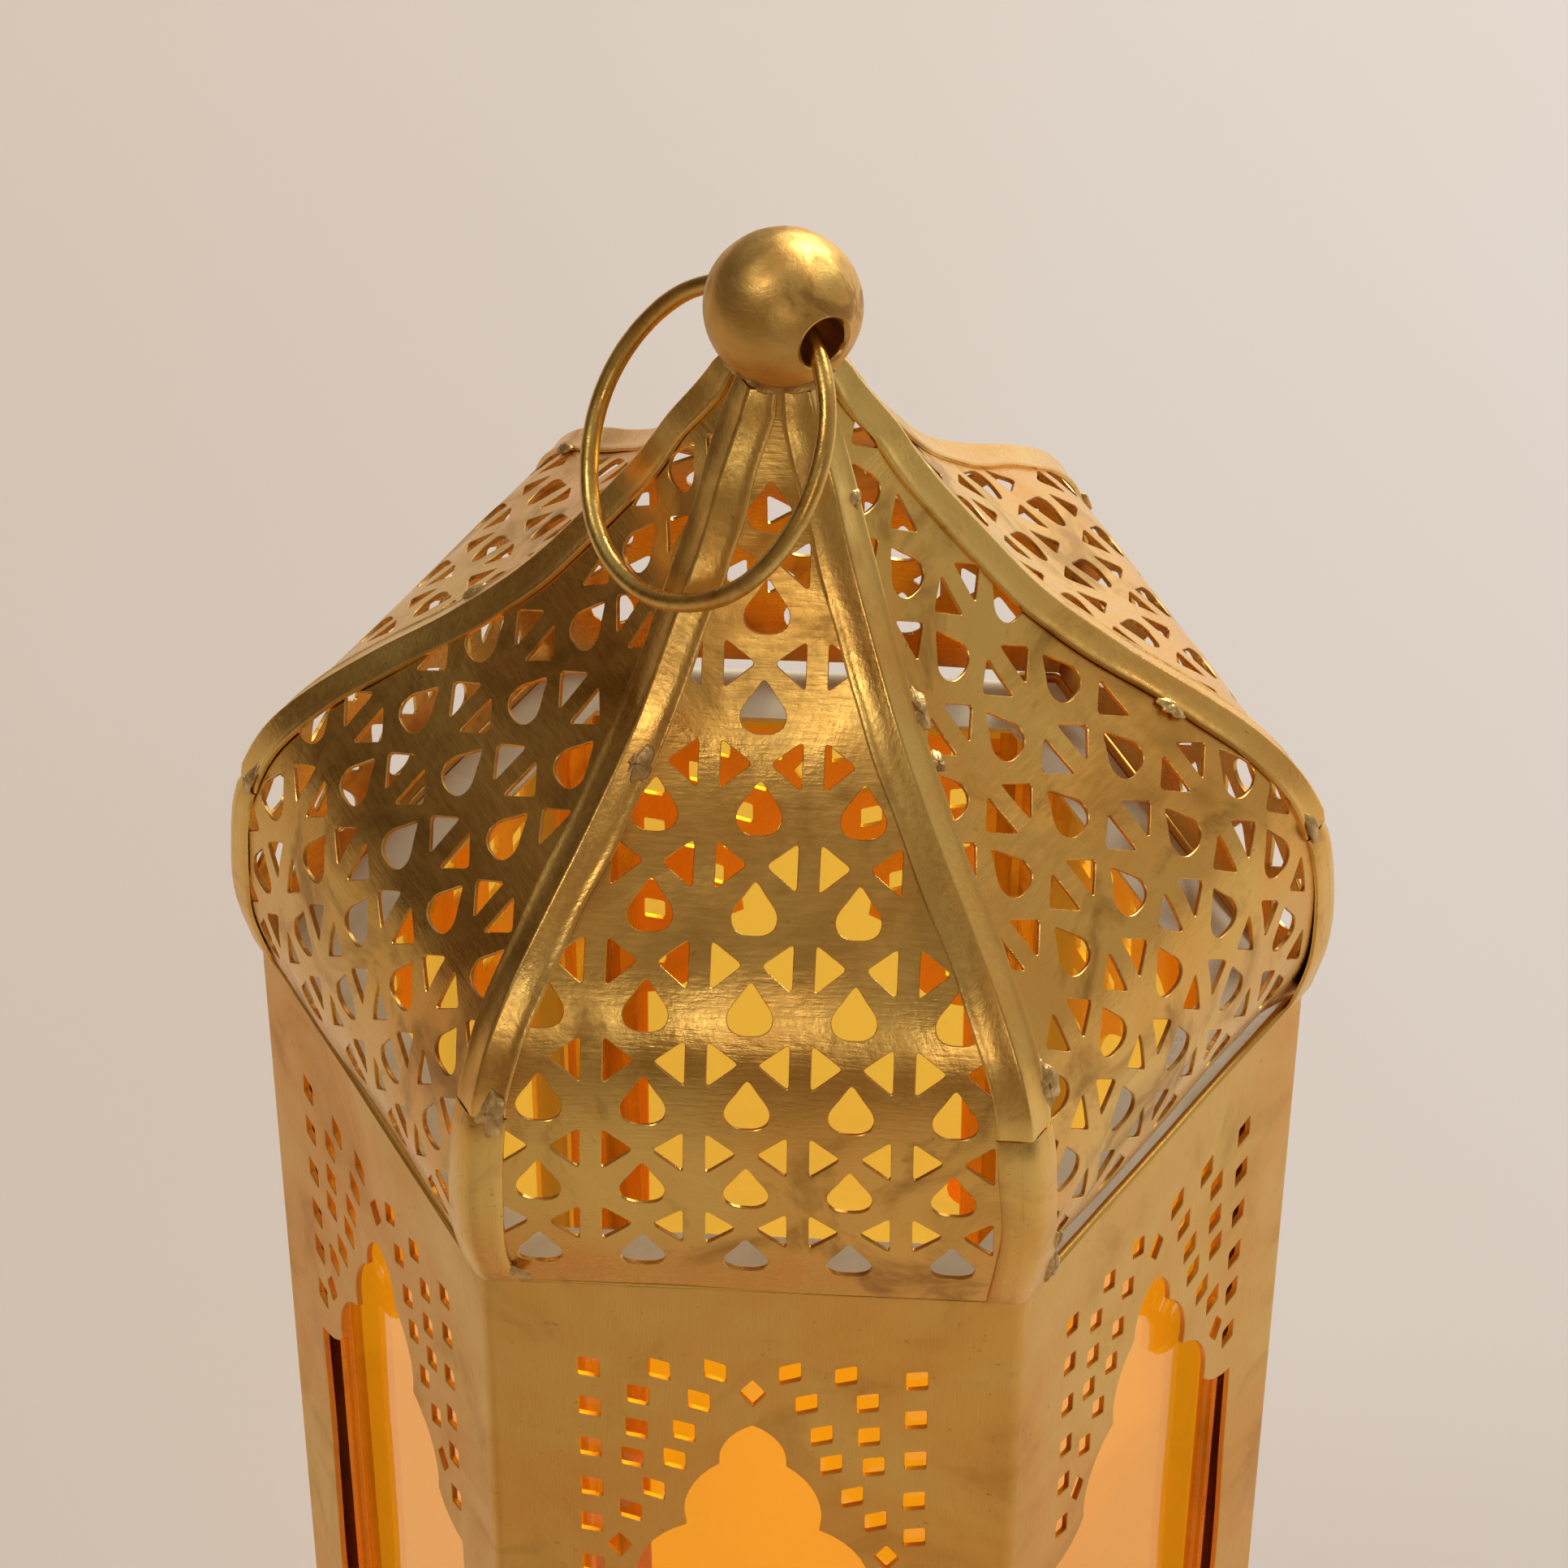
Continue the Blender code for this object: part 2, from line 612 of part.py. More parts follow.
def hip_strip(name, start, end, flanges, thickness, number):
    """A strip folded over the seam at a corner, between two lengths up the sheet."""
    stations = [start, *(s for s in GORE.stations if start + GAP < s < end - GAP), end]
    turns = [Matrix.Rotation(sign * HALF_SIDE_ANGLE, 3, "Z") for sign in (-1, 1)]

    def row(station, out):
        """One flange's edge, the crease and the other flange's edge."""
        spot = GORE.section(station, out)
        crease = spot.x * tan(HALF_SIDE_ANGLE)
        share = (station - start) / (end - start)
        edge = crease - (flanges[0] + (flanges[1] - flanges[0]) * share)
        return (
            turns[0] @ Vector((spot.x, edge, spot.y)),
            Vector((spot.x / cos(HALF_SIDE_ANGLE), 0, spot.y)),
            turns[1] @ Vector((spot.x, -edge, spot.y)),
        )

    def fill(shape):
        layers = []
        for out in (GAP, GAP + thickness):
            layers.append([[shape.verts.new(point) for point in row(s, out)] for s in stations])
        inner, outer = layers
        for layer in layers:
            for below, above in zip(layer, layer[1:]):
                for side in (0, 1):
                    shape.faces.new((below[side], below[side + 1], above[side + 1], above[side]))
        for step in range(len(stations) - 1):
            for side in (0, 2):
                shape.faces.new(
                    (inner[step][side], inner[step + 1][side], outer[step + 1][side], outer[step][side])
                )
        for tip in (0, -1):
            for side in (0, 1):
                shape.faces.new(
                    (inner[tip][side], inner[tip][side + 1], outer[tip][side + 1], outer[tip][side])
                )

    turn = Matrix.Rotation(number * 2 * HALF_SIDE_ANGLE, 4, "Z")
    add_object(name, mesh_from(fill, name), STRIP_BRASS, turn)


def build_ribs():
    joint = GORE.stations[RIB_END]
    tip = GORE.stations[-1]
    for number in range(SIDES):
        hip_strip(
            f"roof_rib_{number + 1}", joint, tip, (RIB_FLANGE, RIB_FLANGE_TIP), RIB_SHEET, number
        )
        low_flanges = (CORNER_STRIP_FLANGE, CORNER_STRIP_FLANGE)
        hip_strip(
            f"roof_corner_strip_{number + 1}", 0, joint - GAP, low_flanges, CORNER_STRIP_SHEET, number
        )


def build_finial():
    def fill_ball(shape):
        bmesh.ops.create_uvsphere(shape, u_segments=24, v_segments=14, radius=BALL_R)

    def fill_seat(shape):
        bmesh.ops.create_uvsphere(shape, u_segments=24, v_segments=14, radius=BALL_R + GAP)

    ball = add_object("finial_ball", mesh_from(fill_ball, "finial_ball"), BALL_BRASS)
    ball.location = BALL_CENTRE
    shade_round(ball)
    along = Vector((cos(HOLE_TILT) * cos(HOLE_TURN), cos(HOLE_TILT) * sin(HOLE_TURN), sin(HOLE_TILT)))
    drill = along.to_track_quat("Z", "Y").to_matrix().to_4x4()
    drill.translation = BALL_CENTRE - along * 2 * BALL_R
    boolean(ball, cylinder("ball_hole_cut", BALL_HOLE_R, 4 * BALL_R, None, drill, 20))

    neck_z = ROOF_TIP_Z - NECK_DEPTH
    neck_frame = Matrix.Translation((0, 0, neck_z))
    neck = cylinder("finial_neck", NECK_R, NECK_DEPTH + BALL_RISE / 2, SOLDER, neck_frame, 12)
    seat = add_object("ball_seat_cut", mesh_from(fill_seat, "seat"), None)
    seat.location = BALL_CENTRE
    boolean(neck, seat)

    rest_r, rest_z = ogee_points()[REST_POINT]
    ring_droop = atan2(BALL_CENTRE.z - rest_z, rest_r) - RING_LIFT

    # The ring lies square to the direction it droops in, with the hole's axis across it.
    level = Vector((sin(HOLE_TURN), -cos(HOLE_TURN), 0))
    upward = level.cross(along).normalized()
    if upward.z < 0:
        upward = -upward
    droop = level * cos(ring_droop) - upward * sin(ring_droop)
    centre = BALL_CENTRE + droop * (RING_R - RING_SAG)
    bpy.ops.mesh.primitive_torus_add(
        major_radius=RING_R, minor_radius=RING_WIRE_R, major_segments=40, minor_segments=8
    )
    ring = bpy.context.active_object
    for owner in list(ring.users_collection):
        owner.objects.unlink(ring)
    PARTS.objects.link(ring)
    ring.name = ring.data.name = "hanging_ring"
    ring.data.materials.append(RING_BRASS)
    hook = bpy.data.objects.new("ring_axis", None)
    PARTS.objects.link(hook)
    hook.matrix_world = frame_matrix(BALL_CENTRE, along, droop, along.cross(droop))
    ring.parent = hook
    ring.location = (0, (centre - BALL_CENTRE).length, 0)
    shade_round(ring)


# ---- Door, hinges and latch --------------------------------------------------------------------------
def hinge_line():
    """A point at the foot of the door's hinge axis, and the axis's upward direction."""
    foot, upward, outward = corner_line(DOOR_CORNERS[1] * 2 * HALF_SIDE_ANGLE)
    return foot + outward * (HINGE_OFFSET / cos(HALF_SIDE_ANGLE)), upward


def build_door():
    low_z = SKIRT_TOP_Z + DOOR_GAP_BELOW
    high_z = EAVE_Z - DOOR_GAP_ABOVE
    # In the back face's frame X points to -X of the lantern, so the hinge is on its right.
    latch_margin = RETURN_WIDTH - DOOR_LAP
    outline = face_outline(low_z, high_z, latch_margin, DOOR_HINGE_MARGIN)
    plate(
        "door_panel",
        outline,
        WALL,
        BODY_BRASS,
        face_frame("back", DOOR_OUT - WALL / 2),
        [window_outline()],
    )
    side = RETURN_WIDTH + DOOR_PANE_MARGIN
    pane_low = SKIRT_TOP_Z + PANE_FOOT_RISE
    pane = face_outline(pane_low, EAVE_Z - 2 * PANE_TOP_DROP, side, side)
    plate("door_pane", pane, GLASS, AMBER_GLASS, face_frame("back", -GLASS / 2))
    clip_out = -GLASS - GAP - STRIP_SHEET / 2
    clip_low, clip_high = pane_low + GLASS, EAVE_Z - 2 * PANE_TOP_DROP - GLASS
    for name, sign in (("latch_side", -1), ("hinge_side", 1)):
        clip = [
            (sign * (half_side(z) - side - inset), up_face(z))
            for z, inset in (
                (clip_low, CLIP_WIDTH),
                (clip_low, 0),
                (clip_high, 0),
                (clip_high, CLIP_WIDTH),
            )
        ]
        plate(f"door_clip_{name}", clip, STRIP_SHEET, STRIP_BRASS, face_frame("back", clip_out))


def hinge_leaf(name, face, way, plate_out, own, axis_frame):
    """A leaf on a face, with the knuckles that it owns. own lists their (start, end) along the axis."""
    outward = face_frame(face).col[2].to_3d()
    upward = axis_frame.col[2].to_3d()
    # X along the face from the hinge line, Y up it, Z out of the face. The hinge line is HINGE_OFFSET out.
    frame = frame_matrix(axis_frame.translation, upward.cross(outward), upward, outward)
    low = plate_out - HINGE_OFFSET
    clear = KNUCKLE_R + GAP

    def slab(label, start, end, near, far, finish):
        left, right = sorted((way * near, way * far))
        return block(label, (left, start, low), (right, end, low + LEAF_SHEET), finish, frame)

    leaf = slab(name, 0, HINGE_LENGTH, clear, clear + LEAF_WIDTH, STRIP_BRASS)
    for index, (start, end) in enumerate(own):
        tab = slab(f"{name}_tab_{index}", start, end, 0, clear + LEAF_SHEET, None)
        knuckle_frame = axis_frame @ Matrix.Translation((0, 0, start))
        knuckle = cylinder(f"{name}_knuckle_{index}", KNUCKLE_R, end - start, None, knuckle_frame)
        boolean(leaf, tab, "UNION")
        boolean(leaf, knuckle, "UNION")
    bore_frame = axis_frame @ Matrix.Translation((0, 0, -HINGE_LENGTH))
    bore = cylinder(f"{name}_bore", PIN_R + RUN_GAP, 3 * HINGE_LENGTH, None, bore_frame)
    boolean(leaf, bore)


def build_hinges():
    foot, upward = hinge_line()
    side = upward.cross(Vector((0, 1, 0))).normalized()
    third = (HINGE_LENGTH - 2 * KNUCKLE_PLAY) / 3
    body_knuckles = [(0, third), (HINGE_LENGTH - third, HINGE_LENGTH)]
    door_knuckles = [(third + KNUCKLE_PLAY, HINGE_LENGTH - third - KNUCKLE_PLAY)]
    for name, height in zip(("lower", "upper"), HINGE_HEIGHTS):
        origin = foot + upward * ((height - HINGE_LENGTH / 2 - foot.z) / upward.z)
        axis = frame_matrix(origin, side, upward.cross(side), upward)
        hinge_leaf(f"hinge_{name}_body_leaf", "back_left", 1, GAP, body_knuckles, axis)
        hinge_leaf(f"hinge_{name}_door_leaf", "back", -1, DOOR_OUT + GAP, door_knuckles, axis)
        pin_frame = axis @ Matrix.Translation((0, 0, -GAP))
        cylinder(f"hinge_{name}_pin", PIN_R, HINGE_LENGTH + 2 * GAP, STRIP_BRASS, pin_frame, 12)


def latch_outline():
    """The hook round its rivet at the origin, with the peg's notch at LATCH_REACH, open downwards."""
    notch = PEG_R + NOTCH_PLAY
    tip = LATCH_REACH + notch + LATCH_TIP_WALL
    eye = [
        (LATCH_EYE_R * cos(radians(a)), LATCH_EYE_R * sin(radians(a))) for a in range(50, 311, 26)
    ]
    back = notch + LATCH_BACK_WALL
    notch_top = [
        (LATCH_REACH - notch * cos(radians(a)), notch * sin(radians(a))) for a in range(0, 181, 45)
    ]
    return [
        *eye,
        (LATCH_REACH - notch, -LATCH_MOUTH_DROP),
        *notch_top,
        (LATCH_REACH + notch, -LATCH_MOUTH_DROP),
        (tip, -LATCH_MOUTH_DROP),
        (tip + LATCH_NOSE, 0.0),
        (tip, back),
    ]


def build_latch():
    # The latch side is on the left of the back face's frame, so the hook is drawn the other way round.
    peg_x = -(half_side(LATCH_Z) - PEG_MARGIN)
    pivot = face_frame("back") @ Matrix.Translation((peg_x + LATCH_REACH, up_face(LATCH_Z), 0))
    hole = [
        ((RIVET_R + RUN_GAP) * cos(radians(a)), (RIVET_R + RUN_GAP) * sin(radians(a)))
        for a in range(0, 360, 30)
    ]
    outline = [(-x, y) for x, y in latch_outline()]
    hook_out = DOOR_OUT + GAP + LATCH_SHEET / 2
    plate(
        "latch_hook",
        outline,
        LATCH_SHEET,
        STRIP_BRASS,
        pivot @ Matrix.Translation((0, 0, hook_out)),
        [hole],
    )
    shank = LATCH_SHEET + 2 * GAP
    profile = [
        (0, shank + RIVET_HEAD),
        (RIVET_HEAD_R * 0.7, shank + RIVET_HEAD * 0.8),
        (RIVET_HEAD_R, shank + RIVET_HEAD * 0.3),
        (RIVET_HEAD_R, shank),
        (RIVET_R, shank),
        (RIVET_R, 0),
        (0, 0),
    ]
    rivet = turned("latch_rivet", profile, STRIP_BRASS, 16)
    rivet.matrix_world = pivot @ Matrix.Translation((0, 0, DOOR_OUT + GAP / 2))
    peg = face_frame("back") @ Matrix.Translation((peg_x, up_face(LATCH_Z), GAP))
    cylinder("latch_peg", PEG_R, PEG_LENGTH, STRIP_BRASS, peg, 12)


# ---- Candle -----------------------------------------------------------------------------------------
def build_candle():
    floor_z = PLATE_SHEET + GAP
    cup = [
        (CUP_R, floor_z + CUP_HEIGHT),
        (CUP_R, floor_z + CUP_SHEET),
        (CUP_R - CUP_SHEET, floor_z),
        (0, floor_z),
    ]
    inside = [
        (0, floor_z + CUP_SHEET),
        (CUP_R - 2 * CUP_SHEET, floor_z + CUP_SHEET),
        (CUP_R - CUP_SHEET, floor_z + 2 * CUP_SHEET),
        (CUP_R - CUP_SHEET, floor_z + CUP_HEIGHT),
    ]
    turned("candle_cup", inside + cup, BODY_BRASS, 24)
    wax_z = floor_z + CUP_SHEET + GAP
    top = wax_z + CANDLE_HEIGHT
    candle = [
        (0, top - CANDLE_DIP),
        (CANDLE_R * 0.45, top - CANDLE_DIP * 0.7),
        (CANDLE_R * 0.82, top),
        (CANDLE_R, top - CANDLE_DIP),
        (CANDLE_R, wax_z),
        (0, wax_z),
    ]
    turned("candle", candle, WAX, 24)
    wick_foot = Matrix.Translation((0, 0, top - CANDLE_DIP + GAP))
    cylinder("wick", WICK_R, WICK_HEIGHT, WICK, wick_foot, 8)


def main():
    build_base()
    build_body_wall()
    build_panes()
    build_corner_strips()
    build_top_frame()
    build_roof_panels()
    build_ribs()
    build_finial()
    build_door()
    build_hinges()
    build_latch()
    build_candle()


main()
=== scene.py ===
"""Looks of a six-sided candle lantern: pierced ogee roof, cusped windows, ball, ring and door.

Pieces are in millimetres until piece() makes them metres. The floor, lamps and camera are in metres.
Sheets are drawn flat and bent into place.
"""

import json
from math import atan2, cos, hypot, pi, radians, sin, tan

import bmesh
import bpy
import numpy as np
from mathutils import Matrix, Vector, noise
from mathutils.geometry import delaunay_2d_cdt
from mathutils.kdtree import KDTree


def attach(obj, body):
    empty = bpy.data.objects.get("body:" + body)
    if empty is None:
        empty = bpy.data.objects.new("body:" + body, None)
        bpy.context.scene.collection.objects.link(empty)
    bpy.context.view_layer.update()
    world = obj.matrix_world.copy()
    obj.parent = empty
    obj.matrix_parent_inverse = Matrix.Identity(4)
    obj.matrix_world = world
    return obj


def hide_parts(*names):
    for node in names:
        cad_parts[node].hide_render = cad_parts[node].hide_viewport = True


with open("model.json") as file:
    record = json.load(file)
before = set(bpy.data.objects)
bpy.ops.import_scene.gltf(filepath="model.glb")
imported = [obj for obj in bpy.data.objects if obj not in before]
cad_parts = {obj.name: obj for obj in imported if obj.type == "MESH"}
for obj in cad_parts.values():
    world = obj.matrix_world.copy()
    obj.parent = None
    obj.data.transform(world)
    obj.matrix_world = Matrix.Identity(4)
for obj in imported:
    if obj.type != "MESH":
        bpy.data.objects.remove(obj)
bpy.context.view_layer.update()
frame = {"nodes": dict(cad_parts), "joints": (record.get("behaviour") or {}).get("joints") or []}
NODES = frame["nodes"]
JOINTS = {joint["name"]: joint for joint in frame["joints"]}

MM = 0.001
HALF = pi / 6  # half the angle that one face takes
COS_HALF, TAN_HALF = cos(HALF), tan(HALF)

# ---- Sizes, in millimetres --------------------------------------------------------------------------
BODY_TOP_R = 65.0
FACE_LEAN = radians(1.47)
WALL_FOOT_Z = 18.0
EAVE_Z = 204.0
WALL = 0.8
RETURN_WIDTH = 5.5
ROOF_HEIGHT = 98.6
ROOF_TIP_R = 9.0
ROOF_SHEET = 0.6
GAP = 0.3
WALL_SPACING, ROOF_SPACING = 3.6, 2.3  # how far apart the mesh points of a sheet lie
OGEE = (
    (1.000, 0.000),
    (1.042, 0.090),
    (1.046, 0.180),
    (1.028, 0.270),
    (0.966, 0.360),
    (0.865, 0.430),
    (0.720, 0.498),
    (0.565, 0.563),
    (0.394, 0.650),
    (0.240, 0.760),
    (0.118, 0.861),
    (0.000, 1.000),
)
RIB_FOOT = 28.8  # length up the roof sheet where a rib ends
RIB_FLANGE = 4.1
TIP_DRAW_HEIGHT, TIP_DRAW_IN, TIP_DRAW_UP = 10.0, 0.25, 1.3  # how the tip closes in under the ball
CORNER_FLANGE = 4.6
PITCH_ACROSS, PITCH_UP, FIRST_ROW = 12.35, 11.95, 7.6
TRIANGLE_RISE = 5.1  # triangles' middle over the drops' middle
BALL_R, BALL_RISE, BALL_HOLE_R = 9.5, 8.9, 3.15
RING_WIRE_R = 1.15
WICK_R = 0.8
FACE_ANGLES = {
    "front": -90,
    "front_right": -30,
    "back_right": 30,
    "back": 90,
    "back_left": 150,
    "front_left": 210,
}
# Sideways shift of each roof panel's lattice, and how much its foot curls in.
LATTICE_SHIFT = {
    "front": (-0.65, 0.0),
    "front_left": (-1.0, 0.6),
    "front_right": (-1.9, 3.0),
    "back": (0.5, 0.4),
    "back_left": (0.9, 0.8),
    "back_right": (-0.4, 1.2),
}
CORNER_LEAN = tan(FACE_LEAN) / COS_HALF
TIP_Z = EAVE_Z + ROOF_HEIGHT
BALL_Z = TIP_Z + BALL_RISE


def corner_r(z):
    return BODY_TOP_R - (EAVE_Z - z) * CORNER_LEAN


def half_side(z):
    return corner_r(z) * sin(HALF)


# ---- Materials --------------------------------------------------------------------------------------
def principled(name):
    made = bpy.data.materials.new(name)
    made.use_nodes = True
    return made, made.node_tree, made.node_tree.nodes["Principled BSDF"]


class Graph:
    """Short names for building a node tree."""

    def __init__(self, tree):
        self.tree = tree

    def add(self, kind, **values):
        node = self.tree.nodes.new(kind)
        for key, value in values.items():
            setattr(node, key, value)
        return node

    def link(self, source, target):
        self.tree.links.new(source, target)

    def coords(self, scale=(1, 1, 1)):
        where = self.add("ShaderNodeTexCoord")
        mapping = self.add("ShaderNodeMapping")
        mapping.inputs["Scale"].default_value = scale
        self.link(where.outputs["Object"], mapping.inputs["Vector"])
        return mapping.outputs["Vector"]

    def noise(self, scale, detail=4.0, roughness=0.55, stretch=(1, 1, 1), distortion=0.0):
        made = self.add("ShaderNodeTexNoise")
        made.inputs["Scale"].default_value = scale
        made.inputs["Detail"].default_value = detail
        made.inputs["Roughness"].default_value = roughness
        made.inputs["Distortion"].default_value = distortion
        self.link(self.coords(stretch), made.inputs["Vector"])
        return made.outputs["Fac"]

    def ramp(self, source, low, high, out_low=0.0, out_high=1.0):
        made = self.add("ShaderNodeMapRange")
        made.inputs["From Min"].default_value = low
        made.inputs["From Max"].default_value = high
        made.inputs["To Min"].default_value = out_low
        made.inputs["To Max"].default_value = out_high
        self.link(source, made.inputs["Value"])
        return made.outputs["Result"]

    def mix(self, factor, first, second):
        made = self.add("ShaderNodeMix", data_type="RGBA")
        for socket, value in ((made.inputs[6], first), (made.inputs[7], second)):
            if isinstance(value, tuple):
                socket.default_value = (*value, 1.0)
            else:
                self.link(value, socket)
        self.link(factor, made.inputs["Factor"])
        return made.outputs[2]

    def math(self, operation, first, second):
        made = self.add("ShaderNodeMath", operation=operation)
        for socket, value in zip(made.inputs, (first, second)):
            if isinstance(value, (int, float)):
                socket.default_value = value
            else:
                self.link(value, socket)
        return made.outputs["Value"]

    def bump(self, height, distance, strength=1.0):
        made = self.add("ShaderNodeBump")
        made.inputs["Distance"].default_value = distance
        made.inputs["Strength"].default_value = strength
        self.link(height, made.inputs["Height"])
        return made.outputs["Normal"]


def brass(name, colour, roughness, stain, brushed, blotch=55.0):
    """Hand-polished sheet brass: ragged heat stains, cloudy tone, fine scratches one way, pits."""
    made, tree, shader = principled(name)
    graph = Graph(tree)
    dark = tuple(c * k for c, k in zip(colour, (0.46, 0.36, 0.28)))
    warm = tuple(c * k for c, k in zip(colour, (0.98, 0.80, 0.66)))
    clouds = graph.noise(blotch, 5.0, 0.62, distortion=0.8)
    patches = graph.noise(blotch * 0.4, 4.0, 0.6, distortion=0.5)
    specks = graph.noise(blotch * 14, 3.0, 0.6)
    streaks = graph.noise(260.0, 3.0, 0.65, stretch=brushed)
    tone = graph.mix(graph.ramp(patches, 0.42, 0.62), colour, warm)
    tone = graph.mix(graph.ramp(clouds, 0.54, 0.66, 0.0, stain), tone, dark)
    tone = graph.mix(graph.ramp(patches, 0.60, 0.68, 0.0, stain * 0.9), tone, dark)
    tone = graph.mix(graph.ramp(specks, 0.68, 0.75, 0.0, 0.6), tone, dark)
    graph.link(tone, shader.inputs["Base Color"])
    shine = graph.ramp(clouds, 0.3, 0.72, roughness - 0.06, roughness + 0.14)
    shine = graph.math("ADD", shine, graph.ramp(streaks, 0.35, 0.7, -0.03, 0.06))
    graph.link(shine, shader.inputs["Roughness"])
    fine = graph.math("ADD", graph.math("MULTIPLY", streaks, 0.5), graph.math("MULTIPLY", specks, 0.35))
    height = graph.math("ADD", fine, graph.math("MULTIPLY", clouds, 2.0))
    graph.link(graph.bump(height, 0.00007), shader.inputs["Normal"])
    shader.inputs["Metallic"].default_value = 1.0
    return made


def solder_material():
    made, tree, shader = principled("solder_look")
    graph = Graph(tree)
    lumps = graph.noise(420.0, 5.0, 0.65)
    tone = graph.mix(graph.ramp(lumps, 0.40, 0.62), (0.82, 0.57, 0.23), (0.46, 0.28, 0.10))
    graph.link(tone, shader.inputs["Base Color"])
    graph.link(graph.ramp(lumps, 0.3, 0.7, 0.26, 0.55), shader.inputs["Roughness"])
    graph.link(graph.bump(lumps, 0.0004), shader.inputs["Normal"])
    shader.inputs["Metallic"].default_value = 0.85
    return made


def tin_material():
    made, tree, shader = principled("tinplate_look")
    graph = Graph(tree)
    clouds = graph.noise(140.0, 4.0, 0.6)
    tone = graph.mix(graph.ramp(clouds, 0.4, 0.7), (1.0, 0.99, 0.76), (0.88, 0.86, 0.60))
    graph.link(tone, shader.inputs["Base Color"])
    graph.link(graph.ramp(clouds, 0.3, 0.7, 0.26, 0.42), shader.inputs["Roughness"])
    shader.inputs["Metallic"].default_value = 0.15
    return made


def glass_material():
    """Clear amber glass that lamps shine through, with a painted glow from a faint orange emission."""
    made, tree, shader = principled("amber_glass_look")
    amber = (1.0, 0.68, 0.09, 1.0)
    shader.inputs["Base Color"].default_value = amber
    shader.inputs["Roughness"].default_value = 0.02
    shader.inputs["IOR"].default_value = 1.5
    shader.inputs["Transmission Weight"].default_value = 1.0
    # Painted glow: a faint orange emission stands in for daylight inside the lantern lighting the
    # panes.
    shader.inputs["Emission Color"].default_value = (1.0, 0.38, 0.02, 1.0)
    shader.inputs["Emission Strength"].default_value = 0.06
    graph = Graph(tree)
    lamp_side = graph.add("ShaderNodeBsdfTransparent")
    lamp_side.inputs["Color"].default_value = amber
    rays = graph.add("ShaderNodeLightPath")
    mixed = graph.add("ShaderNodeMixShader")
    graph.link(rays.outputs["Is Shadow Ray"], mixed.inputs["Fac"])
    graph.link(shader.outputs["BSDF"], mixed.inputs[1])
    graph.link(lamp_side.outputs["BSDF"], mixed.inputs[2])
    graph.link(mixed.outputs["Shader"], tree.nodes["Material Output"].inputs["Surface"])
    return made


def wax_material():
    made, tree, shader = principled("wax_look")
    graph = Graph(tree)
    clouds = graph.noise(60.0, 3.0, 0.5)
    tone = graph.mix(graph.ramp(clouds, 0.35, 0.7), (0.90, 0.85, 0.74), (0.82, 0.76, 0.62))
    graph.link(tone, shader.inputs["Base Color"])
    shader.inputs["Roughness"].default_value = 0.45
    shader.inputs["Subsurface Weight"].default_value = 0.35
    shader.inputs["Subsurface Radius"].default_value = (0.006, 0.004, 0.002)
    graph.link(graph.bump(graph.noise(300.0, 3.0, 0.5), 0.0002), shader.inputs["Normal"])
    return made


def wick_material():
    made, tree, shader = principled("wick_look")
    graph = Graph(tree)
    tone = graph.mix(graph.noise(900.0, 3.0, 0.6), (0.05, 0.04, 0.035), (0.42, 0.36, 0.28))
    graph.link(tone, shader.inputs["Base Color"])
    shader.inputs["Roughness"].default_value = 0.9
    return made


SLOTS = {
    "roof_brass": brass("roof_brass_look", (0.84, 0.53, 0.14), 0.26, 0.75, (1, 1, 9)),
    "body_brass": brass("body_brass_look", (0.82, 0.515, 0.13), 0.38, 0.22, (14, 14, 1)),
    "strip_brass": brass("strip_brass_look", (0.88, 0.59, 0.17), 0.26, 0.5, (6, 6, 1)),
    "ball_brass": brass("ball_brass_look", (0.74, 0.48, 0.14), 0.40, 0.7, (1, 1, 3), 150.0),
    "ring_brass": brass("ring_brass_look", (0.76, 0.51, 0.14), 0.27, 0.45, (1, 1, 1), 200.0),
    "solder": solder_material(),
    "tinplate": tin_material(),
    "amber_glass": glass_material(),
    "wax": wax_material(),
    "wick_cotton": wick_material(),
}


# ---- Building blocks --------------------------------------------------------------------------------
def piece(name, points, faces, slot, body, stands_for=(), sharp=32):
    """Links a mesh, in metres, as a piece that rides on a body and takes its finish from a slot."""
    mesh = bpy.data.meshes.new(name)
    mesh.from_pydata([tuple(p) for p in points], [], faces)
    shape = bmesh.new()
    shape.from_mesh(mesh)
    bmesh.ops.remove_doubles(shape, verts=shape.verts, dist=1e-7)
    bmesh.ops.recalc_face_normals(shape, faces=shape.faces)
    shape.to_mesh(mesh)
    shape.free()
    mesh.shade_smooth()
    mesh.set_sharp_from_angle(angle=radians(sharp))
    mesh.materials.append(SLOTS[slot])
    made = bpy.data.objects.new(name, mesh)
    bpy.context.scene.collection.objects.link(made)
    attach(made, body)
    if stands_for:
        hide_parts(*stands_for)
    return made


def wander(x, y, seed, size, amount):
    """Smooth random height, about +-amount / 2, with hollows and swells of this size."""
    return amount * noise.noise(Vector((x / size, y / size, seed * 3.7)))


def rounded(corners, radius, steps=3):
    """A closed outline with its corners rounded."""
    loop = []
    for index, corner in enumerate(corners):
        corner = Vector(corner)
        before = Vector(corners[index - 1]) - corner
        after = Vector(corners[(index + 1) % len(corners)]) - corner
        cut = min(radius, 0.45 * before.length, 0.45 * after.length)
        start, end = corner + before.normalized() * cut, corner + after.normalized() * cut
        for step in range(steps + 1):
            t = step / steps
            loop.append(start * (1 - t) ** 2 + corner * 2 * t * (1 - t) + end * t * t)
    return loop


def refined(loop, longest):
    """The same closed outline with no edge longer than this."""
    made = []
    for start, end in zip(loop, loop[1:] + loop[:1]):
        start, end = Vector(start), Vector(end)
        steps = max(1, int((end - start).length / longest + 0.999))
        made += [start.lerp(end, step / steps) for step in range(steps)]
    return made


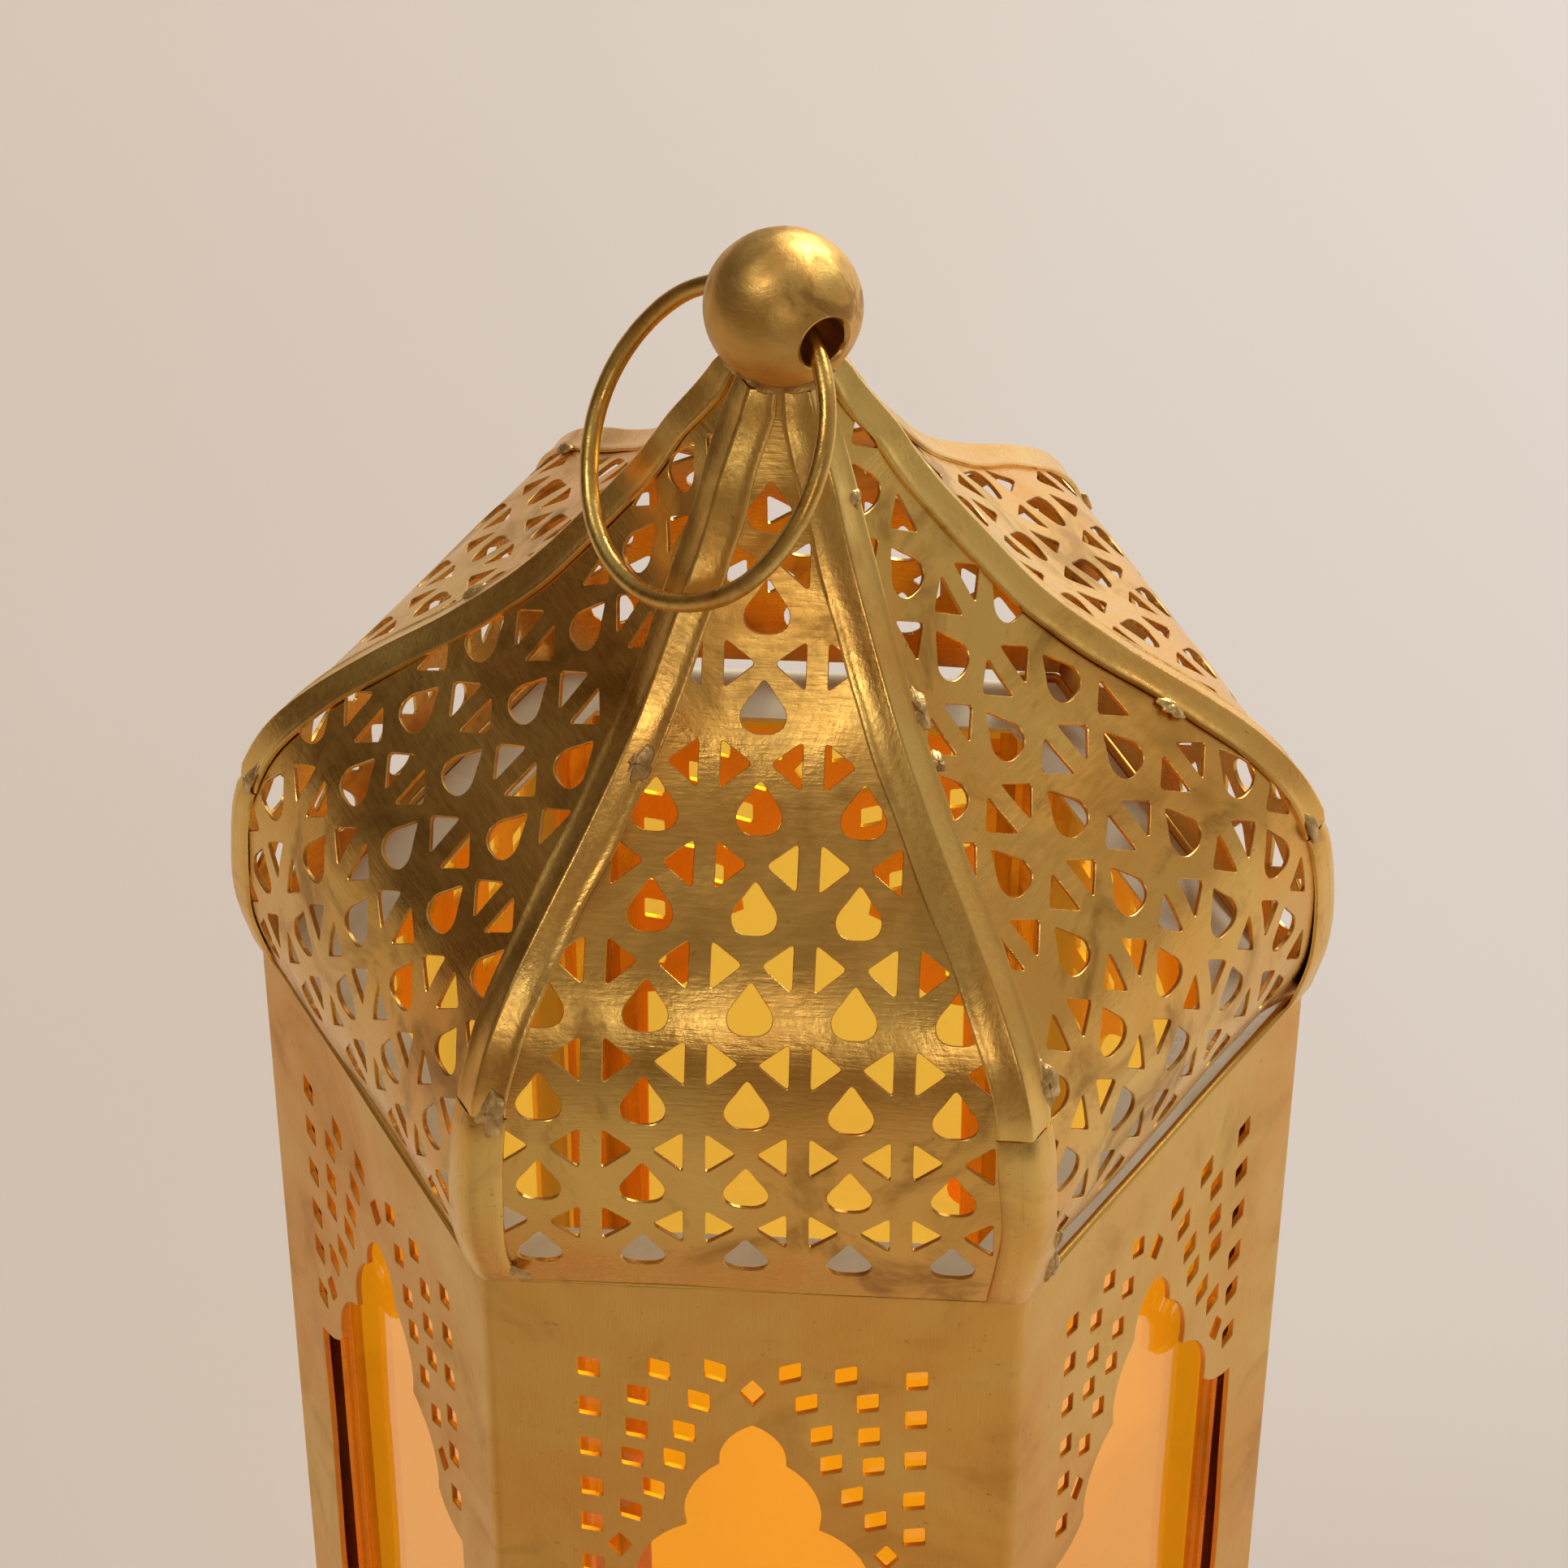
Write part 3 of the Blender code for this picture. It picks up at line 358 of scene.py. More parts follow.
def grown(loop, amount):
    """The closed outline, moved outwards by amount, or inwards if it is negative."""
    count = len(loop)
    area = sum(a.cross(b) for a, b in zip(loop, loop[1:] + loop[:1]))
    sign = 1 if area > 0 else -1
    made = []
    for index, point in enumerate(loop):
        before = (point - loop[index - 1]).normalized()
        after = (loop[(index + 1) % count] - point).normalized()
        normals = [Vector((way.y, -way.x)) * sign for way in (before, after)]
        middle = (normals[0] + normals[1]).normalized()
        made.append(point + middle * amount / max(0.5, middle.dot(normals[0])))
    return made


def smooth_path(points, steps, closed=False):
    """A Catmull-Rom curve through the points."""
    points = [Vector(p) for p in points]
    if closed:
        points = [points[-1], *points, points[0], points[1]]
    else:
        points = [2 * points[0] - points[1], *points, 2 * points[-1] - points[-2]]
    made = []
    for a, b, c, d in zip(points, points[1:], points[2:], points[3:]):
        for step in range(steps):
            t = step / steps
            made.append(
                0.5
                * (
                    2 * b
                    + (c - a) * t
                    + (2 * a - 5 * b + 4 * c - d) * t * t
                    + (3 * b - a - 3 * c + d) * t * t * t
                )
            )
    if not closed:
        made.append(points[-2])
    return made


def inside(points, loop):
    """Which of the points lie in the closed outline."""
    x, y = points[:, 0], points[:, 1]
    found = np.zeros(len(points), bool)
    x0, y0 = loop[-1]
    for x1, y1 in loop:
        if y0 != y1:
            crosses = (y0 > y) != (y1 > y)
            found ^= crosses & (x < (x1 - x0) * (y - y0) / (y1 - y0) + x0)
        x0, y0 = x1, y1
    return found


def grid_points(loops, spacing, lines=()):
    """Points spread over a sheet, clear of its outlines. Each x in lines gets a column of points."""
    tree_points = [p for loop in loops for p in loop]
    tree = KDTree(len(tree_points))
    for index, point in enumerate(tree_points):
        tree.insert((*point, 0), index)
    tree.balance()
    low = np.min(np.array(loops[0]), axis=0)
    high = np.max(np.array(loops[0]), axis=0)
    rise = spacing * 0.87
    found = []
    for row in range(int((high[1] - low[1]) / rise) + 1):
        y = low[1] + rise * (row + 0.5)
        x = low[0] + spacing * (0.25 + 0.5 * (row % 2))
        while x < high[0]:
            if not any(abs(x - line) < spacing * 0.4 for line in lines):
                found.append((x, y))
            x += spacing
        found += [(line, y) for line in lines]
    found = np.array(found)
    keep = inside(found, loops[0])
    for loop in loops[1:]:
        near = np.abs(found - np.mean(np.array(loop), axis=0)).max(1) < 40
        near[near] = inside(found[near], loop)
        keep &= ~near
    clear = spacing * 0.3
    return [Vector(p) for p in found[keep] if tree.find((*p, 0))[2] > clear]


def sheet(name, outline, holes, thickness, place, slot, body, stands_for, spacing, lines=()):
    """A punched sheet. place(x, y, depth) bends a point of the flat pattern into its place."""
    chamfer, edge = 0.09, 1.4
    true = [refined(outline, edge)] + [refined(hole, edge) for hole in holes]
    loops = [grown(true[0], -chamfer)] + [grown(loop, chamfer) for loop in true[1:]]
    points = [p for loop in loops for p in loop]
    edges, starts = [], []
    total = 0
    for loop in loops:
        size = len(loop)
        starts.append(total)
        edges += [(total + i, total + (i + 1) % size) for i in range(size)]
        total += size
    points += grid_points(loops, spacing, lines)
    flat, _, triangles, *_ = delaunay_2d_cdt(points, edges, [], 0, 1e-6)
    flat = np.array([tuple(p) for p in flat])
    triangles = np.array([tuple(t) for t in triangles])
    centres = flat[triangles].mean(1)
    keep = inside(centres, loops[0])
    for loop in loops[1:]:
        low, high = np.min(np.array(loop), axis=0), np.max(np.array(loop), axis=0)
        near = ((centres > low) & (centres < high)).all(1)
        near[near] = inside(centres[near], loop)
        keep &= ~near
    triangles = triangles[keep]
    count = len(flat)
    solid = [place(x, y, 0.0) for x, y in flat] + [place(x, y, thickness) for x, y in flat]
    faces = [tuple(int(i) for i in t) for t in triangles]
    faces += [tuple(int(i) + count for i in t[::-1]) for t in triangles]
    assert count == len(points), f"{name}: outlines touch"
    for loop, start in zip(true, starts):
        first = len(solid)
        size = len(loop)
        solid += [place(x, y, chamfer) for x, y in loop]
        solid += [place(x, y, thickness - chamfer) for x, y in loop]
        for i in range(size):
            j = (i + 1) % size
            rows = [(start + i, start + j), (first + i, first + j)]
            rows += [(first + size + i, first + size + j), (count + start + i, count + start + j)]
            for (a, b), (c, d) in zip(rows, rows[1:]):
                faces.append((a, b, d, c))
    return piece(name, [p * MM for p in solid], faces, slot, body, stands_for)


def sweep_mesh(rings, wrap=False):
    """Points and faces of the skin over rings of equal size, with caps unless it wraps."""
    size = len(rings[0])
    points = [p for ring in rings for p in ring]
    faces = []
    last = len(rings) if wrap else len(rings) - 1
    for index in range(last):
        low, high = index * size, (index + 1) % len(rings) * size
        for i in range(size):
            j = (i + 1) % size
            faces.append((low + i, low + j, high + j, high + i))
    if not wrap:
        faces.append(tuple(range(size)))
        faces.append(tuple(range(len(points) - size, len(points))))
    return points, faces


def swept(name, rings, slot, body, stands_for=(), wrap=False, sharp=32):
    points, faces = sweep_mesh(rings, wrap)
    return piece(name, [p * MM for p in points], faces, slot, body, stands_for, sharp)


def turned(
    name, profile, steps, slot, body, stands_for=(), matrix=None, bumps=None, wrap=False, sharp=32
):
    """A profile of (radius, height) in mm, turned round Z. bumps(angle, height) adds to the radius."""
    rings = []
    for r, z in profile:
        ring = []
        for step in range(steps):
            a = 2 * pi * step / steps
            wide = r + (bumps(a, z) if bumps and r > 0 else 0)
            point = Vector((wide * cos(a), wide * sin(a), z))
            ring.append(matrix @ point if matrix else point)
        rings.append(ring)
    return swept(name, rings, slot, body, stands_for, wrap, sharp)


def tube_rings(path, radius, sides, wrap=False):
    """Rings round a path. radius is a function of the share of the way along."""
    rings = []
    count = len(path)
    across = None
    for index, point in enumerate(path):
        ahead = path[(index + 1) % count] if wrap else path[min(index + 1, count - 1)]
        behind = path[index - 1] if wrap or index else path[0]
        along = (ahead - behind).normalized()
        if across is None:
            across = along.orthogonal().normalized()
        across = (across - along * across.dot(along)).normalized()
        other = along.cross(across)
        reach = radius(index / (count - 1))
        turns = [2 * pi * side / sides for side in range(sides)]
        rings.append([point + (across * cos(a) + other * sin(a)) * reach for a in turns])
    return rings


# ---- Frames on the body's faces ----------------------------------------------------------------------
def face_frame(face):
    """X along the face, Y up it, Z out of it, in mm, from the middle of the face's top edge."""
    angle = radians(FACE_ANGLES[face])
    level = Vector((cos(angle), sin(angle), 0))
    along = Vector((-sin(angle), cos(angle), 0))
    outward = (level * cos(FACE_LEAN) - Vector((0, 0, sin(FACE_LEAN)))).normalized()
    origin = level * BODY_TOP_R * COS_HALF + Vector((0, 0, EAVE_Z))
    made = Matrix.Identity(4)
    for column, axis in enumerate((along, outward.cross(along), outward, origin)):
        made.col[column][:3] = axis[:]
    return made


def up_face(z):
    return (z - EAVE_Z) / cos(FACE_LEAN)


def arc(start, end, bulge, steps):
    """Points after start, up to end, on an arc that rises to the left by bulge times the chord."""
    (x0, y0), (x1, y1) = start, end
    chord = hypot(x1 - x0, y1 - y0)
    rise = bulge * chord
    radius = (chord * chord / 4 + rise * rise) / (2 * rise)
    middle = Vector(((x0 + x1) / 2, (y0 + y1) / 2))
    across = Vector((y0 - y1, x1 - x0)) / chord
    centre = middle + across * (rise - radius)
    first = atan2(y0 - centre.y, x0 - centre.x)
    turn = atan2(y1 - centre.y, x1 - centre.x) - first
    turn = (turn + pi) % (2 * pi) - pi
    reach = abs(radius)
    angles = [first + turn * step / steps for step in range(1, steps + 1)]
    return [(centre.x + reach * cos(a), centre.y + reach * sin(a)) for a in angles]


def window_outline():
    """The cusped arch on straight jambs, in a face frame."""
    right = [(0.0, -24.2)]
    for cusp, bulge in (((4.1, -31.4), 0.16), ((8.2, -42.9), 0.145), ((14.3, -54.7), 0.17)):
        right += arc(right[-1], cusp, bulge, 8)
    right += arc(right[-1], (20.9, -58.5), -0.12, 4)
    right += rounded([right[-1], (20.9, up_face(34.0)), (0, up_face(34.0))], 0.8)[4:8]
    left = [(-x, y) for x, y in right[1:]]
    return [Vector(p) for p in left + right[::-1]]


def lace_holes():
    """The small punched holes round the window's arch."""
    # Each is (out from the middle, down from the eave, tilt in degrees), and has a twin on the left.
    spots = (
        (4.55, 14.2, 14),
        (11.36, 14.3, 10),
        (19.97, 14.4, 0),
        (6.55, 19.7, 12),
        (14.0, 19.0, 5),
        (19.9, 21.5, 0),
        (8.4, 25.3, 10),
        (14.2, 25.1, 3),
        (19.9, 29.0, 0),
        (9.6, 30.5, 10),
        (14.8, 30.5, 3),
        (19.8, 36.4, 0),
        (12.2, 36.2, 12),
        (19.9, 43.1, 0),
        (15.1, 40.5, 12),
        (19.8, 51.0, 0),
    )
    wide, tall, lower = 1.35, 1.62, 0.3
    made = []
    for out, down, tilt in spots:
        rise = wide * tan(radians(10 + 0.8 * tilt))
        corners = ((-wide, -tall), (wide, -tall), (wide, tall), (-wide, tall))
        hole = [Vector((out + x, y + rise * x / wide - down - lower)) for x, y in corners]
        made.append(rounded(hole, 0.35, 2))
        made.append(rounded([Vector((-p.x, p.y)) for p in hole], 0.35, 2))
    diamonds = ((16.5, 47.4, 1.6, 2.3), (-16.5, 47.4, 1.6, 2.3), (0, 18.3, 1.7, 2.45))
    for out, down, wide, tall in diamonds:
        points = [(out - wide, -down), (out, -down - tall), (out + wide, -down), (out, -down + tall)]
        made.append(rounded(points, 0.3, 2))
    return made


# ---- Body wall ---------------------------------------------------------------------------------------
FACE_RING = ["back_left", "front_left", "front", "front_right", "back_right"]
PITCH = 2 * half_side(EAVE_Z)  # one face's width in the flat pattern
FOLD = 1.0  # length of flat given to the rounding on each side of a corner
STEADY = 24.0  # out to here the pattern keeps true widths


def wall_point(x, y, depth):
    """Flat pattern of the five faces and the two folds beside the door to the row frame."""
    z = EAVE_Z + y * cos(FACE_LEAN)
    index = int((x + PITCH / 2) // PITCH)
    local = x - index * PITCH
    true_half = half_side(z)
    if abs(local) > STEADY:
        share = (abs(local) - STEADY) / (PITCH / 2 - STEADY)
        local = (1 if local > 0 else -1) * (STEADY + share * (true_half - STEADY))
    names = ["back", *FACE_RING, "back"]
    angle = radians(FACE_ANGLES[names[index + 1]])
    apothem = corner_r(z) * COS_HALF
    level = Vector((cos(angle), sin(angle), 0))
    along = Vector((-sin(angle), cos(angle), 0))
    out = -depth
    from_corner = true_half - abs(local)
    ease = min(1.0, max(0.0, (from_corner - FOLD) / 6.0))
    out += ease * (wander(x, z, 1, 26, 0.34) + wander(x, z, 2, 11, 0.06))
    point = level * (apothem + out) + along * local
    if from_corner < FOLD:
        # Round the fold: between the tangent points the sheet follows a curve under the corner.
        side = 1 if local > 0 else -1
        bisector = angle + side * HALF
        outward = Vector((cos(bisector), sin(bisector), 0))
        t = 0.5 * (1 - from_corner / FOLD)
        start = level * (apothem - depth) + along * side * (true_half - FOLD)
        other_angle = angle + side * 2 * HALF
        other_level = Vector((cos(other_angle), sin(other_angle), 0))
        other_along = Vector((-sin(other_angle), cos(other_angle), 0))
        end = other_level * (apothem - depth) - other_along * side * (true_half - FOLD)
        corner = outward * ((apothem - depth) / COS_HALF)
        point = start * (1 - t) ** 2 + corner * 2 * t * (1 - t) + end * t * t
    point.z = z
    return point


def build_wall():
    high, low = up_face(EAVE_Z), up_face(WALL_FOOT_Z)
    left, right = -PITCH / 2 - RETURN_WIDTH, 4.5 * PITCH + RETURN_WIDTH
    holes = []
    for index in range(5):
        for hole in [window_outline(), *lace_holes()]:
            holes.append([Vector((p.x + index * PITCH, p.y)) for p in hole])
    lines = []
    reach = FOLD * (PITCH / 2 - STEADY) / (half_side(EAVE_Z - 70) - STEADY)
    for fold in range(6):
        middle = (fold - 0.5) * PITCH
        for side in (-1, 1):
            lines += [middle + side * reach * share for share in (0.25, 0.5, 0.75, 1.0, 1.35)]
        lines.append(middle)
    outline = rounded([(left, low), (right, low), (right, high), (left, high)], 0.6, 2)
    sheet(
        "body_wall_look",
        outline,
        holes,
        WALL,
        wall_point,
        "body_brass",
        "case",
        ["body_wall"],
        WALL_SPACING,
        lines,
    )


def build_hems():
    """The wall's top edge, rolled into a bead along each of its five faces."""
    radius = 0.62
    for face in FACE_RING:
        turn = Matrix.Rotation(radians(FACE_ANGLES[face]), 3, "Z")
        reach = corner_r(EAVE_Z) * COS_HALF - radius
        half = half_side(EAVE_Z) - 1.6
        path = []
        for x in np.linspace(-half, half, 36):
            sag = min(1.0, (half - abs(x)) / 5.0)
            side = reach + sag * wander(x, 3, FACE_ANGLES[face] + 7, 22, 0.25)
            path.append(turn @ Vector((side, x, EAVE_Z - radius + 0.25 + sag * 0.1)))
        rings = tube_rings(path, lambda t: radius * (1 + wander(30 * t, 1, 8, 3, 0.1)), 12)
        swept(f"body_hem_{face}_look", rings, "body_brass", "case", ["body_wall"])


# ---- Roof --------------------------------------------------------------------------------------------
class Gore:
    """One roof panel's outer surface, smooth up the ogee. Lengths are along the sheet."""

    def __init__(self):
        points = [
            (
                (ROOF_TIP_R + out * (BODY_TOP_R - ROOF_TIP_R)) * COS_HALF,
                EAVE_Z + GAP + up * (ROOF_HEIGHT - GAP),
            )
            for out, up in OGEE
        ]
        path = np.array([tuple(p) for p in smooth_path(points, 12)])
        # The ribs and sheets are drawn together under the ball.
        tip_z = EAVE_Z + ROOF_HEIGHT
        share = np.clip((path[:, 1] - tip_z) / TIP_DRAW_HEIGHT + 1, 0, 1)
        share = share * share * (3 - 2 * share)
        path[:, 0] *= 1 - TIP_DRAW_IN * share
        path[:, 1] += TIP_DRAW_UP * share
        runs = np.diff(path, axis=0)
        self.lengths = np.concatenate([[0], np.cumsum(np.hypot(runs[:, 0], runs[:, 1]))])
        ways = np.gradient(path, self.lengths, axis=0)
        self.path = path
        self.normals = np.stack([ways[:, 1], -ways[:, 0]], axis=1)
        self.top = float(self.lengths[-1])

    def section(self, station, out):
        """(distance from the axis, height) at a length up the sheet, and so far out of it."""
        x, z = (float(np.interp(station, self.lengths, self.path[:, i])) for i in (0, 1))
        nx, nz = (float(np.interp(station, self.lengths, self.normals[:, i])) for i in (0, 1))
        return x + nx * out, z + nz * out

    def half_width(self, station):
        return float(np.interp(station, self.lengths, self.path[:, 0])) * TAN_HALF


GORE = Gore()
DROP_HALF = [(0.45, 2.82), (1.34, 1.50), (2.32, 0.15), (2.72, -1.02), (2.36, -2.32), (1.30, -3.03)]
DROP = smooth_path(
    [(0, 3.20), *DROP_HALF, (0, -3.16), *((-x, y) for x, y in reversed(DROP_HALF))], 2, closed=True
)
TRIANGLE = rounded([(-1.8, 2.95), (-1.8, -2.95), (1.95, 0.15)], 0.70, 3)


def lattice(shift):
    """The punched drops and triangles that fit on a panel, shifted sideways."""
    holes = []
    row = 0
    while FIRST_ROW + row * PITCH_UP + 3 < GORE.top:
        station = FIRST_ROW + row * PITCH_UP
        for column in range(-3, 4):
            middle = column * PITCH_ACROSS + shift
            marks = [(DROP, 1, middle, station)]
            marks.append((TRIANGLE, 1, middle - 3.05, station + TRIANGLE_RISE))
            marks.append((TRIANGLE, -1, middle + 3.05, station + TRIANGLE_RISE))
            for shape, flip, x, y in marks:
                hole = [Vector((x + flip * p.x, y + p.y)) for p in shape]
                if max(p.y for p in hole) > GORE.top - 4:
                    continue
                if all(abs(p.x) < GORE.half_width(p.y) - 1.0 for p in hole):
                    holes.append(hole)
        row += 1
    return holes


def build_gore(face, number):
    shift, curl = LATTICE_SHIFT[face]
    angle = radians(FACE_ANGLES[face])
    turn = Matrix.Rotation(angle, 3, "Z")
    curl_from = 26.0

    def place(x, y, depth):
        bend = max(0.0, 1 - y / curl_from)
        from_edge = GORE.half_width(y) - abs(x)
        ease = min(1.0, max(0.0, from_edge / 8.0))
        dent = wander(x, y, number + 10, 24, 0.55) + wander(x, y, number + 30, 9, 0.10)
        out = ease * dent - depth
        radius, height = GORE.section(y, out - ease * curl * 0.50 * bend * bend)
        return turn @ Vector((radius, x, height + ease * curl * 0.35 * bend * bend))

    seam = 0.2
    stations = np.linspace(0, GORE.top, 60)
    side = [Vector((GORE.half_width(s) - seam, s)) for s in stations]
    outline = side + [Vector((-p.x, p.y)) for p in reversed(side)]
    name = f"roof_panel_{face}"
    holes = lattice(shift)
    sheet(f"{name}_look", outline, holes, ROOF_SHEET, place, "roof_brass", "case", [name], ROOF_SPACING)


def hip_point(station, side, across, out):
    """A point on a strip folded over the hip at +X, across from its crease and out of the sheet."""
    radius, height = GORE.section(station, out)
    reach = side * (across - radius * TAN_HALF)
    return Matrix.Rotation(side * HALF, 3, "Z") @ Vector((radius, reach, height))


def hip_ring(station, flange, outer, inner, bend):
    """The closed section of a folded strip. Its sides are lists of (share of the flange, height)."""

    def half(side, profile):
        return [hip_point(station, side, flange(side) * share, out) for share, out in profile]

    def crease(out, start_share):
        first = hip_point(station, -1, bend, out)
        last = hip_point(station, 1, bend, out)
        top = hip_point(station, -1, 0, out + start_share)
        steps = 6
        return [
            first * (1 - t) ** 2 + top * 2 * t * (1 - t) + last * t * t
            for t in (step / steps for step in range(steps + 1))
        ]

    ring = half(-1, outer[::-1]) + crease(outer[0][1], 0.12) + half(1, outer)
    ring += half(1, inner[::-1]) + crease(inner[0][1], 0.0)[::-1] + half(-1, inner)
    return ring


RIB_CREASE = ((0.12, 0.72), (0.30, 0.60), (0.62, 0.53))
RIB_OUTER = (*RIB_CREASE, (0.80, 0.57), (0.89, 0.67), (0.96, 0.66), (1.0, 0.50))
RIB_INNER = ((0.14, 0.14), (0.60, 0.12), (0.97, 0.10))
STRIP_OUTER = ((0.40, 0.72), (0.70, 0.70), (0.94, 0.66), (1.0, 0.52))
STRIP_INNER = ((0.40, 0.12), (0.70, 0.10), (0.97, 0.10))


def build_hip(number):
    """A rib over the hip from its foot to the tip, and the corner strip from there to the eave."""
    turn = Matrix.Rotation(number * 2 * HALF, 3, "Z")

    def strip(node, start, end, widths, outer, inner, bend, seed):
        rings = []
        steps = max(8, int((end - start) / 1.6))
        for step in range(steps + 1):
            station = start + (end - start) * step / steps
            share = step / steps
            width = widths[0] + (widths[1] - widths[0]) * share

            def flange(side):
                ragged = width + wander(station, side * 20, seed, 9, 0.5)
                return min(ragged, GORE.half_width(station) * 0.96)

            # The first and last rings are flatter, which rounds the strip's ends.
            end_ease = min(1.0, min(share, 1 - share) * steps + 0.55)
            swell = wander(station, 5, seed + 50, 13, 0.22)
            lifted = [(s, h * end_ease + swell * (1 - s)) for s, h in outer]
            rings.append([turn @ p for p in hip_ring(station, flange, lifted, inner, bend)])
        swept(f"{node}_look", rings, "strip_brass", "case", [node])

    strip(
        f"roof_rib_{number + 1}",
        RIB_FOOT,
        GORE.top - 0.2,
        (RIB_FLANGE, RIB_FLANGE),
        RIB_OUTER,
        RIB_INNER,
        0.45,
        number + 60,
    )
    strip(
        f"roof_corner_strip_{number + 1}",
        0.0,
        RIB_FOOT - GAP,
        (CORNER_FLANGE, CORNER_FLANGE - 0.5),
        STRIP_OUTER,
        STRIP_INNER,
        1.9,
        number + 80,
    )


# ---- Finial and ring ---------------------------------------------------------------------------------
def build_finial():
    along = -Vector(JOINTS["ring_swing"]["axis"]).normalized()
    drill = along.to_track_quat("Z", "Y").to_matrix().to_4x4()
    drill.translation = Vector((0, 0, BALL_Z))
    lip = 0.55
    start = (BALL_HOLE_R + lip) / BALL_R
    low_angle = np.arcsin(start)
    edge_z = BALL_R * cos(low_angle)
    sphere = [
        (BALL_R * sin(a), BALL_R * cos(a)) for a in np.linspace(low_angle, pi - low_angle, 44)
    ]
    # The rim of the hole, as (out from the hole, down from its edge).
    eased = ((0.0, 0.7), (0.08, 0.3), (0.26, 0.05))
    mouth = [(BALL_HOLE_R + out, edge_z - down) for out, down in eased]
    bore = [(BALL_HOLE_R, z) for z in np.linspace(-edge_z + 1.2, edge_z - 1.2, 5)]
    profile = mouth + sphere + [(r, -z) for r, z in mouth[::-1]] + bore

    def dents(a, z):
        if abs(z) > edge_z - 0.2:
            return 0
        return -abs(wander(5 * cos(a), 5 * sin(a) + z, 3, 3.2, 0.22)) - 0.02

    turned(
        "finial_ball_look", profile, 72, "ball_brass", "case", ["finial_ball"], drill, dents, wrap=True
    )

    def lumps(a, z):
        coarse = wander(6 * cos(a), 6 * sin(a), 4, 3.0, 1.3)
        return coarse + wander(9 * cos(a), z * 2 + 9 * sin(a), 5, 1.6, 0.5)

    stub = [(3.8, -6), (4.4, -4), (5.0, -1.5), (5.7, 0.2)]
    collar = [(6.4, 1.0), (6.6, 1.5), (6.3, 1.9), (5.6, 2.2), (4.2, 2.2)]
    at_tip = Matrix.Translation((0, 0, TIP_Z))
    turned(
        "finial_neck_look", stub + collar, 48, "solder", "case", ["finial_neck"], at_tip, lumps
    )


def hip_frame(number, station, side, across, out):
    """A matrix on the roof beside a hip: origin on the sheet, Z out of it."""
    turn = Matrix.Rotation(number * 2 * HALF, 3, "Z")
    here = turn @ hip_point(station, side, across, out)
    above = turn @ hip_point(station + 1, side, across, out)
    outside = turn @ hip_point(station, side, across, out + 1)
    upward, outward = (above - here).normalized(), (outside - here).normalized()
    made = Matrix.Identity(4)
    for column, axis in enumerate((upward.cross(outward), upward, outward, here)):
        made.col[column][:3] = axis[:]
    return made


def build_solder():
    """Lumps of solder and burrs along the ribs."""
    # Each is (hip, length up the sheet, side of the crease, across from it, width, length, height).
    lumps = (
        (4, 72.0, 1, 2.2, 1.7, 2.6, 0.9),
        (4, 29.6, 1, 2.0, 2.4, 3.4, 0.8),
        (4, 2.6, 1, 4.6, 2.6, 1.6, 0.5),
        (5, 103.0, 1, 3.2, 1.0, 1.5, 0.7),
        (5, 77.0, 1, 4.4, 1.5, 3.0, 0.9),
        (5, 71.0, 1, 4.6, 1.0, 1.4, 0.6),
        (5, 33.5, 1, 4.4, 1.7, 3.2, 0.9),
        (5, 4.0, 1, 4.4, 1.5, 3.6, 0.9),
        (5, 9.5, 1, 4.8, 0.9, 1.8, 0.6),
        (0, 55.0, -1, 4.2, 1.2, 2.2, 0.7),
        (0, 30.0, -1, 2.6, 1.8, 2.6, 0.7),
        (1, 84.0, 1, 3.6, 1.2, 2.0, 0.7),
        (1, 31.0, -1, 2.6, 2.0, 2.8, 0.7),
        (2, 48.0, 1, 4.2, 1.4, 2.4, 0.8),
        (2, 29.0, 1, 2.2, 2.0, 2.6, 0.6),
        (3, 66.0, -1, 4.0, 1.2, 2.2, 0.7),
        (3, 30.0, 1, 2.4, 2.0, 2.8, 0.7),
        (3, 3.0, -1, 4.4, 1.8, 1.6, 0.5),
    )
    skirt = [(1.0, -0.45), (1.06, -0.15), (0.98, 0.12)]
    dome = skirt + [(0.80, 0.42), (0.52, 0.74), (0.22, 0.93), (0.04, 1.0)]
    spread = 0.85
    for index, (hip, station, side, across, wide, long, high) in enumerate(lumps):
        base = hip_frame(hip, station, side, across, 0.45)
        shape = base @ Matrix.Diagonal((spread * wide, spread * long, high, 1.0))

        def ripple(a, z, index=index):
            return wander(2 * cos(a) + index * 5, 2 * sin(a) + z, 9, 1.0, 0.5)

        turned(
            f"solder_lump_{index + 1}", dome, 28, "solder", "case", matrix=shape, bumps=ripple, sharp=80
        )


def build_ring():
    """The wire ring through the ball, a little out of round."""
    co = np.array([v.co for v in NODES["hanging_ring"].data.vertices]) / MM
    centre = Vector(co.mean(0))
    ball = Vector((0, 0, BALL_Z))
    along = -Vector(JOINTS["ring_swing"]["axis"]).normalized()
    droop = (centre - ball).normalized()
    radius = max((Vector(p) - centre).length for p in co) - RING_WIRE_R
    path = []
    count = 140
    for step in range(count):
        a = 2 * pi * step / count
        reach = radius + wander(4 * cos(a), 4 * sin(a), 6, 2.4, 0.25)
        path.append(centre + (along * sin(a) + droop * cos(a)) * reach)

    def wire(share):
        return RING_WIRE_R * (1 + wander(40 * share, 0, 7, 2, 0.04))

    rings = tube_rings(path, wire, 18, wrap=True)
    swept("hanging_ring_look", rings, "ring_brass", "ring", ["hanging_ring"], wrap=True)


